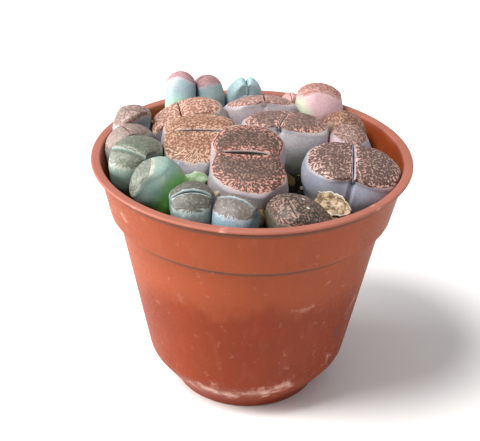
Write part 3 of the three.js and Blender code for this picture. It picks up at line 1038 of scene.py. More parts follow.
def contact(first: Array, second: Array) -> tuple[float, Array, float]:
    """Find the flat face between two bodies that would meet.

    Of the directions within 60 degrees of the line of their middles, and 30 degrees of level,
    the one in which they overlap least gives the face, half way through the overlap.

    Args:
        first: Points of one body.
        second: Points of the other.

    Returns:
        The overlap, the direction, and the level of the face along it.
    """
    line = second.mean(axis=0) - first.mean(axis=0)
    bearing = np.arctan2(line[1], line[0])
    swings = np.radians(np.arange(-60, 61, 10))
    swing, pitch = np.meshgrid(bearing + swings, np.radians(np.arange(-30, 31, 10)), indexing="ij")
    level = np.cos(pitch)
    ways = columns(level * np.cos(swing), level * np.sin(swing), np.sin(pitch)).reshape(-1, 3)
    top = (first @ ways.T).max(axis=0)
    bottom = (second @ ways.T).min(axis=0)
    best = int(np.argmin(top - bottom))
    return float(top[best] - bottom[best]), ways[best], float(top[best] + bottom[best]) / 2.0


def find_presses(pairs: list[LeafPair]) -> dict[str, Presses]:
    """Find the faces that press each body, from the CAD bodies.

    Args:
        pairs: Every leaf pair, in the CAD's order.

    Returns:
        For each name, directions and the level along each that isn't passed.
    """
    bodies = {pair.name: pair.coarse_rings().reshape(-1, 3) for pair in pairs}
    presses: dict[str, Presses] = {pair.name: [] for pair in pairs}
    for index, pair in enumerate(pairs):
        for other in pairs[index + 1 :]:
            overlap, way, level = contact(bodies[pair.name], bodies[other.name])
            if overlap < -GAP:
                continue
            presses[pair.name].append((way, level - GAP / 2.0))
            presses[other.name].append((-way, -level - GAP / 2.0))
    return presses


def held(past: Array) -> Array:
    """Return a distance past a limit drawn back softly: -s log(1 + exp(-past / s))."""
    softness = LeafPair.PRESS_SOFTNESS
    return -softness * np.logaddexp(0.0, -past / softness)


def pressed(rings: Array, presses: Presses) -> Array:
    """Press points flat against the neighbours and the pot's wall.

    Args:
        rings: Points in the pot's frame.
        presses: Directions and levels that aren't passed.

    Returns:
        The pressed points.
    """
    points = rings.copy()
    for way, level in presses:
        past = points @ way - level
        points += (held(past) - past)[..., None] * way
    slope = (COLLAR_TOP_RADIUS - COLLAR_FOOT_RADIUS) / (RIM_HEIGHT - COLLAR_FOOT_HEIGHT)
    wall = COLLAR_TOP_RADIUS - WALL - GAP - slope * (RIM_HEIGHT - points[..., 2])
    out = np.hypot(points[..., 0], points[..., 1])
    inside = (wall + held(out - wall)) / np.maximum(out, 1e-6)
    points[..., :2] *= inside[..., None]
    return points


# -------------------------------------------------------------------------- the pot
@dataclass(frozen=True)
class Deposit:
    """A place on the pot where dried minerals, or dirt, have gathered."""

    bearing: float  # degrees from +X
    height: float  # millimetres above the table
    width: float  # along the wall
    tall: float  # up it
    strength: float


@dataclass(frozen=True)
class PotFinish:
    """Colours of the moulded plastic. Heights are in metres above the table."""

    dry: Colour = rgb(146, 65, 30)
    damp: Colour = rgb(126, 44, 4)
    # Painted highlight: the lip's top and outer edge are coloured lighter, as where the light catches them.
    # The random worn streaks reuse this colour as real wear.
    rim: Colour = rgb(168, 104, 88)
    salt: Colour = rgb(214, 176, 160)
    # The smudge colour serves both the real smudges of dirt and the painted shade lines under the collar
    # and the lip.
    smudge_and_shade: Colour = rgb(82, 62, 48)
    damp_line: float = 0.046  # at the pot's axis
    damp_fall: float = -0.2  # slope of that line to the back
    shade_lines: tuple[tuple[float, float, float], ...] = (  # start, full dark and end of two lines of painted shade
        (0.0721, 0.0733, 0.0754),  # painted shade under the collar
        (0.0912, 0.0926, 0.0949),  # painted shade under the lip
    )

    def material(self) -> bpy.types.Material:
        """Build the plastic: mottled, darker where damp, chalky where minerals have dried, with painted
        shade in thin dark lines under the collar and the lip, and a painted highlight on the lip.

        Returns:
            The material.
        """
        sheet = NodeSheet("pot_plastic_finish")
        place = sheet.place()
        fine = sheet.cloud(place, 900.0, 5.0, 0.65)
        broad = sheet.cloud(place, 60.0, 4.0, 0.55)
        runs = sheet.cloud(sheet.scaled(place, (1.0, 1.0, 0.18)), 260.0, 3.0, 0.6)
        dots = sheet.cells(place, 230.0)
        outer = sheet.mark("outer")
        _, back, height = sheet.parts(place)
        line = sheet.sum("MULTIPLY_ADD", back, self.damp_fall, self.damp_line)
        line = sheet.swayed(sheet.swayed(line, broad, 0.022), runs, 0.01)
        wet = sheet.ramp(sheet.sum("SUBTRACT", line, height), -0.006, 0.005)
        colour = sheet.mix(sheet.sum("MULTIPLY", wet, outer), self.dry, self.damp)
        # Painted highlight on the lip's top and outer edge.
        colour = sheet.mix(sheet.mark("rim"), colour, self.rim)
        worn = sheet.ramp(runs, 0.5, 0.85, 0.0, 0.14)
        colour = sheet.mix(worn, colour, self.rim)
        salt = sheet.mark("salt")
        chalk = sheet.cloud(place, 260.0, 4.0, 0.6)
        crust = sheet.ramp(sheet.sum("MULTIPLY_ADD", salt, 0.36, chalk), 0.6, 1.02)
        colour = sheet.mix(sheet.sum("MULTIPLY", crust, 0.8), colour, self.salt)
        speck = sheet.ramp(sheet.sum("MULTIPLY_ADD", fine, 0.16, dots), 0.16, 0.1)
        speckled = sheet.sum("MULTIPLY", speck, sheet.ramp(broad, 0.6, 0.76))
        colour = sheet.mix(sheet.sum("MULTIPLY", speckled, 0.5), colour, self.salt)
        # Painted shade: thin dark lines under the collar and under the lip, where their overhangs shade the
        # wall.
        lines = sheet.sum("MAXIMUM", *(sheet.band(height, *band) for band in self.shade_lines))
        lines = sheet.sum("MULTIPLY", sheet.sum("MULTIPLY", lines, outer), 0.72)
        colour = sheet.mix(lines, colour, self.smudge_and_shade)
        dirt = sheet.sum("MULTIPLY", sheet.mark("dirt"), sheet.ramp(fine, 0.3, 0.6))
        colour = sheet.mix(dirt, colour, self.smudge_and_shade)
        mottle = sheet.ramp(broad, 0.25, 0.75, 0.93, 1.06)
        shaded = sheet.mix(1.0, colour, mottle, "MULTIPLY")
        rough = sheet.sum("MULTIPLY_ADD", crust, 0.3, sheet.ramp(fine, 0.3, 0.7, 0.42, 0.56))
        relief = sheet.sum("MULTIPLY_ADD", crust, 0.6, fine)
        return sheet.finish(shaded, rough, relief, 0.05, flesh=0.05, gloss=0.2)


@dataclass(frozen=True)
class Pot:
    """The pot: one thin turned shell with its drain holes. Sizes are in millimetres."""

    outline: tuple[tuple[float, float, float], ...] = (  # radius, height, fillet
        (56.85, RIM_HEIGHT, 0.45),  # the lip
        (60.0, RIM_HEIGHT, 0.55),
        (60.0, 94.8, 0.35),
        (57.5, 94.9, 0.2),  # the groove under it
        (57.0, 94.0, 0.2),
        (57.25, 92.9, 0.3),  # the collar
        (COLLAR_FOOT_RADIUS, 75.4, 0.5),
        (50.4, 75.7, 0.3),  # the step under it
        (50.4, 74.0, 0.3),
        (BEVEL_RADIUS, BEVEL_HEIGHT, 3.0),
        (FOOT_RADIUS, FOOT_HEIGHT, 1.6),  # the foot
        (27.6, 0.0, 0.4),
        (26.4, 0.0, 0.4),
        (25.2, FLOOR_HEIGHT, 0.3),  # the floor, out to its middle hole
        (4.2, FLOOR_HEIGHT, 0.2),
        (4.2, 4.4, 0.2),
        (28.4, 4.56, 1.0),  # up the inside
        (37.0, 14.96, 2.0),
        (49.4, 76.2, 0.4),
        (52.0, 76.7, 0.4),
        (56.4, 95.4, 0.3),
    )
    sides: int = 288
    step: float = 1.8  # longest edge along the outline
    holes: int = 6
    hole_circle: float = 17.0
    hole_radius: float = 3.4
    finish: PotFinish = PotFinish()
    minerals: tuple[Deposit, ...] = (
        Deposit(252.0, 11.0, 15.0, 4.0, 1.0),
        Deposit(283.0, 12.0, 7.0, 5.0, 0.95),
        Deposit(293.0, 14.0, 6.0, 5.0, 0.9),
        Deposit(322.0, 22.0, 4.0, 6.0, 0.6),
        Deposit(333.0, 44.0, 3.0, 7.0, 0.6),
        Deposit(294.0, 55.0, 6.0, 1.6, 0.75),
        Deposit(262.0, 95.4, 2.2, 0.8, 1.1),
        Deposit(318.0, 95.6, 2.0, 0.8, 1.1),
        Deposit(214.0, 84.0, 7.0, 3.0, 0.55),
        Deposit(70.0, 12.0, 16.0, 5.0, 0.9),
        Deposit(130.0, 16.0, 12.0, 6.0, 0.7),
        Deposit(20.0, 18.0, 10.0, 6.0, 0.7),
        Deposit(165.0, 40.0, 5.0, 5.0, 0.5),
    )
    smudges: tuple[Deposit, ...] = (
        Deposit(324.0, 34.0, 1.8, 2.4, 1.0),
        Deposit(28.0, 88.0, 1.4, 0.9, 0.9),
        Deposit(20.0, 89.5, 1.4, 0.8, 0.8),
    )

    PEG_SIDES = 32
    PEG_ENDS = (7.0, 1.0)  # heights, above and below the floor

    def rounded(self) -> Array:
        """Round each corner of the outline by an arc that touches both of its sides.

        The arc is drawn as a quadratic curve from one touching point to the other, pulled to the
        corner. Long sides are then cut into equal steps.

        Returns:
            Radius and height of each point.
        """
        corners = np.array([(radius, height) for radius, height, _ in self.outline])
        fillets = np.array([fillet for _, _, fillet in self.outline])
        before = np.roll(corners, 1, axis=0) - corners
        after = np.roll(corners, -1, axis=0) - corners
        short = np.minimum(np.linalg.norm(before, axis=1), np.linalg.norm(after, axis=1))
        reach = np.minimum(fillets, 0.45 * short)[:, None]
        enter = corners + reach * before / np.linalg.norm(before, axis=1, keepdims=True)
        leave = corners + reach * after / np.linalg.norm(after, axis=1, keepdims=True)
        t = np.linspace(0.0, 1.0, 5)[None, :, None]
        arcs = (1 - t) ** 2 * enter[:, None] + 2 * t * (1 - t) * corners[:, None] + t**2 * leave[:, None]
        points = []
        for arc, following in zip(arcs, np.roll(arcs, -1, axis=0)):
            points.append(arc)
            gap = np.linalg.norm(following[0] - arc[-1])
            count = int(gap // self.step)
            share = (np.arange(1, count + 1) / (count + 1))[:, None]
            points.append(arc[-1] + share * (following[0] - arc[-1]))
        return np.vstack(points)

    def build(self) -> bpy.types.Object:
        """Turn the outline round the axis, cut the outer drain holes and dress the shell.

        The shell is very slightly out of round: the radius shrinks by up to 0.4 per cent, with
        sin(3a) and sin(5a) of the bearing.

        Returns:
            The piece.
        """
        profile = self.rounded()
        angle = 2.0 * np.pi * np.arange(self.sides) / self.sides
        wobble = 1.0 - 0.001 * (2.0 + np.sin(3.0 * angle + 0.6) + np.sin(5.0 * angle + 2.0))
        radius = profile[:, :1] * wobble
        rings = columns(radius * np.sin(angle), radius * np.cos(angle), profile[:, 1:])
        points, faces = ring_surface(rings, Closing.OPEN, Closing.OPEN)
        piece = make_piece("pot_shell", points, faces, "pot")
        self.cut_holes(piece)
        self.mark(piece.data)
        piece.data.materials.append(self.finish.material())
        return piece

    def cut_holes(self, piece: bpy.types.Object) -> None:
        """Cut the circle of drain holes through the floor with one cutter of round pegs.

        Args:
            piece: The shell.
        """
        rim = 2.0 * np.pi * np.arange(self.PEG_SIDES) / self.PEG_SIDES
        pegs = []
        faces: Faces = []
        for bearing in 2.0 * np.pi * np.arange(self.holes) / self.holes:
            x = self.hole_circle * np.cos(bearing) + self.hole_radius * np.sin(rim)
            y = self.hole_circle * np.sin(bearing) + self.hole_radius * np.cos(rim)
            ring = np.stack([columns(x, y, z) for z in self.PEG_ENDS])
            points, peg_faces = ring_surface(ring, Closing.POINT, Closing.POINT)
            start = sum(len(part) for part in pegs)
            faces += [tuple(index + start for index in face) for face in peg_faces]
            pegs.append(points)
        mesh = bpy.data.meshes.new("drain_cutter")
        mesh.from_pydata((np.vstack(pegs) * MM).tolist(), [], faces)
        cutter = bpy.data.objects.new("drain_cutter", mesh)
        bpy.context.scene.collection.objects.link(cutter)
        cut = piece.modifiers.new("drain", "BOOLEAN")
        cut.operation = "DIFFERENCE"
        cut.solver = "EXACT"
        cut.object = cutter
        bpy.context.view_layer.update()
        whole = piece.evaluated_get(bpy.context.evaluated_depsgraph_get())
        result = bpy.data.meshes.new_from_object(whole)
        piece.modifiers.clear()
        old = piece.data
        piece.data = result
        bpy.data.meshes.remove(old)
        result.name = "pot_shell"
        result.polygons.foreach_set("use_smooth", np.ones(len(result.polygons), bool))
        bpy.data.objects.remove(cutter)
        bpy.data.meshes.remove(mesh)

    def mark(self, mesh: bpy.types.Mesh) -> None:
        """Store where the shell is its outer face, chalky, dirty or part of the rim.

        Args:
            mesh: The shell's mesh.
        """
        flat = np.zeros(len(mesh.vertices) * 3, np.float32)
        mesh.vertices.foreach_get("co", flat)
        points = flat.reshape(-1, 3).astype(float) / MM
        x, y, z = points.T
        out = np.maximum(np.hypot(x, y), 1e-6)
        normals = np.zeros(len(mesh.vertices) * 3, np.float32)
        mesh.vertex_normals.foreach_get("vector", normals)
        away = (normals.reshape(-1, 3)[:, :2] * points[:, :2]).sum(axis=1) / out
        set_mark(mesh, "outer", smooth(away, -0.3, 0.1) * smooth(out, 25.0, 27.0))
        # The lip's top and outer edge, which take the painted highlight.
        set_mark(mesh, "rim", smooth(z, 94.6, 95.9) * smooth(out, 55.5, 56.5))
        bearing = np.arctan2(y, x)
        set_mark(mesh, "salt", self.gathered(self.minerals, bearing, out, z))
        set_mark(mesh, "dirt", self.gathered(self.smudges, bearing, out, z))

    @staticmethod
    def gathered(deposits: tuple[Deposit, ...], bearing: Array, out: Array, z: Array) -> Array:
        """Find the strongest deposit at each point.

        A deposit is a bell curve of the distance from its middle, along the wall and up it.

        Args:
            deposits: The deposits.
            bearing: Bearing of each point in radians.
            out: Its distance from the axis.
            z: Its height.

        Returns:
            Strengths.
        """
        most = np.zeros(len(z))
        for spot in deposits:
            turn = (bearing - np.radians(spot.bearing) + np.pi) % (2.0 * np.pi) - np.pi
            span = (turn * out / spot.width) ** 2 + ((z - spot.height) / spot.tall) ** 2
            most = np.maximum(most, spot.strength * np.exp(-span))
        return most


# ------------------------------------------------------------------------- the soil
@dataclass(frozen=True)
class StoneFinish:
    """Colours of a rough mineral surface."""

    name: str
    light: Colour
    dark: Colour
    fleck: Colour
    grain: float = 900.0  # grains in a metre
    rise: float = 0.35  # height of its relief in millimetres

    def material(self) -> bpy.types.Material:
        """Build a rough surface of grains in two colours, with flecks of a third.

        Returns:
            The material.
        """
        sheet = NodeSheet(self.name)
        place = sheet.place()
        fine = sheet.cloud(place, self.grain, 5.0, 0.7)
        broad = sheet.cloud(place, 170.0, 3.0, 0.6)
        crumbs = sheet.cells(place, 750.0)
        colour = sheet.mix(sheet.ramp(fine, 0.35, 0.65), self.dark, self.light)
        flecked = sheet.sum("MULTIPLY", sheet.ramp(crumbs, 0.34, 0.2), sheet.ramp(broad, 0.5, 0.62))
        colour = sheet.mix(flecked, colour, self.fleck)
        height = sheet.sum("SUBTRACT", fine, sheet.sum("MULTIPLY", crumbs, 0.6))
        return sheet.finish(colour, 0.92, height, self.rise, gloss=0.25)


@dataclass(frozen=True)
class Soil:
    """The potting mix and its loose grit. Sizes are in millimetres."""

    level: float = 85.5  # at the axis, above the table
    fall: float = 2.5  # how much lower it is at the wall
    sides: int = 300
    rows: int = 110
    stones: int = 620  # drawn, before those under the plants are left out
    stone_size: tuple[float, float] = (0.45, 1.1)  # least, and how much more the largest has
    shares: tuple[float, float, float] = (0.5, 0.36, 0.14)  # of the kinds of grit
    seed: int = 11
    # The soil's colour is its own dark mix, made darker still as painted shade, to stand in for the deep
    # shade in the gaps between the plants.
    mix: StoneFinish = StoneFinish("soil_dark_with_painted_shade", rgb(32, 34, 20), rgb(10, 12, 7), rgb(132, 126, 88))
    kinds: tuple[StoneFinish, ...] = (
        StoneFinish("grit_olive", rgb(158, 150, 104), rgb(105, 96, 62), rgb(205, 200, 170), 1500.0, 0.1),
        StoneFinish("grit_brown", rgb(120, 92, 64), rgb(72, 54, 38), rgb(170, 140, 100), 1500.0, 0.1),
        StoneFinish("grit_pale", rgb(222, 214, 196), rgb(160, 150, 130), rgb(240, 236, 225), 1500.0, 0.1),
    )

    def inner(self, inset: float) -> list[tuple[float, float]]:
        """Return the inside of the pot's wall from the rim down, set in from its outer face.

        Args:
            inset: How far it is set in.

        Returns:
            Radius and height of each corner.
        """
        body_top = COLLAR_FOOT_RADIUS - 2.6
        return [
            (COLLAR_TOP_RADIUS - inset, RIM_HEIGHT - 0.5),
            (COLLAR_FOOT_RADIUS - inset, COLLAR_FOOT_HEIGHT + inset),
            (body_top - inset, COLLAR_FOOT_HEIGHT + inset - 0.5),
            (BEVEL_RADIUS - inset, BEVEL_HEIGHT + 0.3 * inset),
            (FOOT_RADIUS - inset, FOOT_HEIGHT + 0.8 * inset),
        ]

    def brim(self) -> float:
        """Return the radius of the soil's edge where it meets the wall.

        Returns:
            The radius.
        """
        rim, collar = self.inner(WALL + GAP)[:2]
        share = (self.level - self.fall - collar[1]) / (rim[1] - collar[1])
        return collar[0] + share * (rim[0] - collar[0]) - 0.3

    def height(self, x: Array, y: Array) -> Array:
        """Return the soil's level: a low mound with slow waves, as the CAD solid has it.

        Args:
            x: Places.
            y: Places.

        Returns:
            Heights above the table.
        """
        out = np.hypot(x, y) / COLLAR_FOOT_RADIUS
        waves = 0.6 * np.sin(0.21 * x + 1.3) * np.cos(0.17 * y) + 0.4 * np.sin(0.37 * y - 0.29 * x)
        return self.level - self.fall * out * out + waves

    def crumbly(self, x: Array, y: Array) -> Array:
        """Return the level with its crumbs: soft noise and half-sunk round grains.

        Args:
            x: Places.
            y: Places.

        Returns:
            Heights above the table.
        """
        flat = columns(x, y, 0.0)
        grains = np.maximum(0.0, 0.62 - nearest_stone(flat, 1.5, 4))
        return self.height(x, y) + 0.45 * noise(flat, 3.2, 8, 3) + 0.9 * grains

    def build(self, bodies: list[bpy.types.Object]) -> None:
        """Build the soil and strew the grit over what the plants leave open.

        Args:
            bodies: The leaf pairs.
        """
        radius = self.brim() * np.linspace(0.008, 1.0, self.rows)[:, None]
        angle = 2.0 * np.pi * np.arange(self.sides)[None, :] / self.sides
        x = radius * np.sin(angle)
        y = radius * np.cos(angle)
        rows = [columns(x, y, self.crumbly(x, y))]
        bottom = (FOOT_RADIUS - WALL - GAP - 0.6, FLOOR_HEIGHT + WALL + GAP)
        lower = [*self.inner(WALL + GAP)[1:], bottom]
        for out, height in lower:
            rows.append(columns(out * np.sin(angle), out * np.cos(angle), height))
        points, faces = ring_surface(np.vstack(rows), Closing.POINT, Closing.POINT)
        piece = make_piece("soil_bed", points, faces, "soil")
        piece.data.materials.append(self.mix.material())
        self.strew(bodies)

    def strew(self, bodies: list[bpy.types.Object]) -> None:
        """Lay grit on the soil: rough stones of 32 faces, half sunk, clear of the plants.

        Args:
            bodies: The leaf pairs.
        """
        draw = np.random.default_rng(self.seed)
        count = self.stones
        radius = (self.brim() - 1.6) * np.sqrt(draw.random(count))
        bearing = 2.0 * np.pi * draw.random(count)
        x = radius * np.cos(bearing)
        y = radius * np.sin(bearing)
        size = self.stone_size[0] + self.stone_size[1] * draw.random(count) ** 2.5
        kind = draw.choice(len(self.kinds), count, p=self.shares)
        clear = np.ones(count, bool)
        for body in bodies:
            clear &= ~covered(body, x, y, self.level - self.fall / 2.0, 0.6)
        sphere, faces = stone_shape()
        stretch = 0.75 + 0.5 * draw.random((count, 1, 3))
        stretch[..., 2] *= 0.75
        ragged = 1.0 + 0.22 * (draw.random((count, len(sphere), 1)) - 0.5)
        spin = 2.0 * np.pi * draw.random(count)
        turn = np.zeros((count, 3, 3))
        turn[:, 0, 0] = np.cos(spin)
        turn[:, 0, 1] = -np.sin(spin)
        turn[:, 1, 0] = np.sin(spin)
        turn[:, 1, 1] = np.cos(spin)
        turn[:, 2, 2] = 1.0
        stones = np.einsum("nij,nkj->nki", turn, sphere[None] * ragged * stretch) * size[:, None, None]
        centre = columns(x, y, self.crumbly(x, y) + 0.25 * size)
        stones += centre[:, None]
        for index, finish in enumerate(self.kinds):
            chosen = stones[(kind == index) & clear]
            offset = np.arange(len(chosen))[:, None, None] * len(sphere)
            joined = [tuple(face) for face in (faces[None] + offset).reshape(-1, 3).tolist()]
            piece = make_piece(finish.name, chosen.reshape(-1, 3), joined)
            piece.data.materials.append(finish.material())


def stone_shape() -> tuple[Array, Array]:
    """Make a ball of 32 triangles: an octahedron with each face cut in four, blown round.

    Returns:
        The points and the faces.
    """
    points = [(1, 0, 0), (-1, 0, 0), (0, 1, 0), (0, -1, 0), (0, 0, 1), (0, 0, -1)]
    corners = [(0, 2, 4), (2, 1, 4), (1, 3, 4), (3, 0, 4), (2, 0, 5), (1, 2, 5), (3, 1, 5), (0, 3, 5)]
    middles: dict[tuple[int, int], int] = {}
    place = [np.array(point, float) for point in points]

    def middle(first: int, second: int) -> int:
        """Return the index of the point half way along an edge.

        Args:
            first: Index of one end.
            second: Index of the other.

        Returns:
            The index.
        """
        key = (min(first, second), max(first, second))
        if key not in middles:
            middles[key] = len(place)
            place.append((place[first] + place[second]) / 2.0)
        return middles[key]

    faces = []
    for a, b, c in corners:
        ab, bc, ca = middle(a, b), middle(b, c), middle(c, a)
        faces += [(a, ab, ca), (ab, b, bc), (ca, bc, c), (ab, bc, ca)]
    ball = np.array(place)
    return ball / np.linalg.norm(ball, axis=1, keepdims=True), np.array(faces)


DIRECTIONS = 48
NEAR_LEVEL = 2.5


def direction(x: Array, y: Array) -> Array:
    """Return which of the DIRECTIONS each offset points in."""
    return ((np.arctan2(y, x) / (2 * np.pi)) % 1.0 * DIRECTIONS).astype(int)


def covered(body: bpy.types.Object, x: Array, y: Array, level: float, margin: float) -> Array:
    """Say which places lie inside a body's outline at one height.

    The outline is the largest radius of the body's points in each of some directions, among the
    points near that height.

    Args:
        body: A leaf pair.
        x: Places.
        y: Places.
        level: The height in millimetres.
        margin: How far outside still counts.

    Returns:
        True where a place is covered.
    """
    flat = np.zeros(len(body.data.vertices) * 3, np.float32)
    body.data.vertices.foreach_get("co", flat)
    points = flat.reshape(-1, 3) / MM
    near = points[np.abs(points[:, 2] - level) < NEAR_LEVEL]
    if not len(near):
        return np.zeros(len(x), bool)
    centre = near[:, :2].mean(axis=0)
    offset = near[:, :2] - centre
    reach = np.zeros(DIRECTIONS)
    np.maximum.at(reach, direction(*offset.T), np.hypot(*offset.T))
    x = x - centre[0]
    y = y - centre[1]
    return np.hypot(x, y) < reach[direction(x, y)] + margin


# -------------------------------------------------------------------- dry scraps
@dataclass(frozen=True)
class ScrapFinish:
    """Colours of a dry leaf or a shed skin."""

    light: Colour
    dark: Colour
    vein: Colour

    def material(self, name: str) -> bpy.types.Material:
        """Build dry skin: long fibres, blotches and pale thin edges.

        Args:
            name: Name of the material.

        Returns:
            The material.
        """
        sheet = NodeSheet(name)
        lay = sheet.mark("lay", vector=True)
        place = sheet.place()
        fibre = sheet.cloud(sheet.scaled(lay, (0.25, 2.6, 1.0)), 1.3, 4.0, 0.6)
        blotch = sheet.cloud(place, 420.0, 4.0, 0.65)
        colour = sheet.mix(sheet.ramp(blotch, 0.38, 0.62), self.light, self.dark)
        colour = sheet.mix(sheet.ramp(fibre, 0.52, 0.7, 0.0, 0.75), colour, self.vein)
        colour = sheet.mix(sheet.ramp(sheet.mark("rim"), 0.7, 1.0, 0.0, 0.7), colour, self.vein)
        height = sheet.sum("MULTIPLY_ADD", blotch, 0.5, fibre)
        return sheet.finish(colour, 0.78, height, 0.22, flesh=0.15, gloss=0.3)


@dataclass(frozen=True)
class Blade:
    """One curled blade. Sizes are in millimetres and angles in degrees."""

    spot: tuple[float, float, float]  # middle: x, y and height above the rim
    length: float
    width: float
    heading: float
    pitch: float
    roll: float
    curl: float  # arc across it, negative for a trough
    bend: float  # arc along it

    THICKNESS = 0.4
    RIBS = 0.25
    FOLDS = 0.45

    def rings(self, seed: int, steps: int = 44, across: int = 18) -> tuple[Array, Array, Array]:
        """Work out the blade: a thin curled section carried along an arc.

        The spine is an arc of the bend. At a share t of its length the width is the blade's
        times sin((0.08 + 0.88 t) pi)^0.6, ragged by noise. The section is an arc of the curl, as
        thick as THICKNESS in its middle and thinner at its edges. Sharp ribs and softer folds,
        longer along the blade than across it, move both faces alike.

        Args:
            seed: Which crumples.
            steps: Sections along the blade.
            across: Points across one face.

        Returns:
            The rings, the place along and across the blade, and the nearness to its edge.
        """
        share = np.linspace(0.012, 1.0, steps)[:, None]
        lane = np.concatenate([np.linspace(1.0, -1.0, across), np.linspace(-1.0, 1.0, across)])[None, :]
        outer = np.concatenate([np.ones(across), -np.ones(across)])[None, :]
        angle = np.radians(self.bend) * (share - 0.5)
        spine = self.length / np.radians(self.bend)
        flat = columns(share * self.length, lane * self.width / 2, 0.0)
        ragged = 1.0 + 0.22 * noise(flat * np.array([1.0, 0.2, 1.0]), 2.2, seed + 4, 3)
        width = self.width * np.sin(np.pi * (0.08 + 0.88 * share)) ** 0.6 * ragged
        arc = np.radians(self.curl) * lane / 2.0
        radius = width / np.radians(self.curl)
        thinned = (1.0 - 0.8 * np.abs(lane) ** 3) * outer
        thick = 0.5 * self.THICKNESS * thinned * np.minimum(1.0, 4.0 * share)
        ribs = noise(flat * np.array([0.12, 1.0, 1.0]), 1.5, seed, 2)
        folds = noise(flat * np.array([0.5, 0.8, 1.0]), 4.5, seed + 2, 2)
        crumple = (self.RIBS * ribs + self.FOLDS * folds) * np.minimum(1.0, 3.0 * share)
        away = radius + thick + crumple
        y = away * np.sin(arc)
        z = away * np.cos(arc) - radius
        x = spine * np.sin(angle) + z * np.sin(angle)
        up = spine * (np.cos(angle) - 1.0) + z * np.cos(angle)
        own = columns(x, y, up)
        turn = Matrix.Rotation(np.radians(self.heading), 3, "Z")
        turn = turn @ Matrix.Rotation(-np.radians(self.pitch), 3, "Y")
        turn = turn @ Matrix.Rotation(np.radians(self.roll), 3, "X")
        middle = np.array(self.spot) + np.array([0.0, 0.0, RIM_HEIGHT])
        return own @ np.array(turn).T + middle, flat, np.abs(lane) * np.ones_like(share)


@dataclass(frozen=True)
class Scrap:
    """A dry leaf or a shed skin made of one or more blades."""

    name: str
    slot: str
    finish: ScrapFinish
    blades: tuple[Blade, ...]

    def build(self) -> bpy.types.Object:
        """Build the blades as one piece.

        Returns:
            The piece.
        """
        all_points = []
        all_faces: Faces = []
        lays = []
        rims = []
        count = 0
        for index, blade in enumerate(self.blades):
            rings, lay, rim = blade.rings(len(self.name) * 7 + index)
            points, faces = ring_surface(rings, Closing.POINT, Closing.POINT)
            all_faces += [tuple(corner + count for corner in face) for face in faces]
            all_points.append(points)
            flat = lay.reshape(-1, 3)
            lays.append(np.vstack([flat, flat[:1], flat[-1:]]))
            edge = rim.reshape(-1)
            rims.append(np.concatenate([edge, edge[:1], edge[-1:]]))
            count += len(points)
        marks = {"lay": np.vstack(lays), "rim": np.concatenate(rims)}
        points = np.vstack(all_points)
        piece = make_piece(self.name + "_blade", points, all_faces, self.name, marks)
        piece.data.materials.append(self.finish.material(self.name + "_skin"))
        return piece


# ------------------------------------------------------------------------ the studio
@dataclass(frozen=True)
class Lamp:
    """A soft rectangular light that looks at the pot."""

    name: str
    spot: tuple[float, float, float]
    size: float
    power: float

    def build(self, target: Vector) -> None:
        """Hang the light, turned to the target.

        Args:
            target: Where it looks, in metres.
        """
        light = bpy.data.lights.new(self.name, "AREA")
        light.shape = "SQUARE"
        light.size = self.size
        light.energy = self.power
        holder = bpy.data.objects.new(self.name, light)
        holder.location = self.spot
        way = target - Vector(self.spot)
        holder.rotation_euler = way.to_track_quat("-Z", "Y").to_euler()
        bpy.context.scene.collection.objects.link(holder)


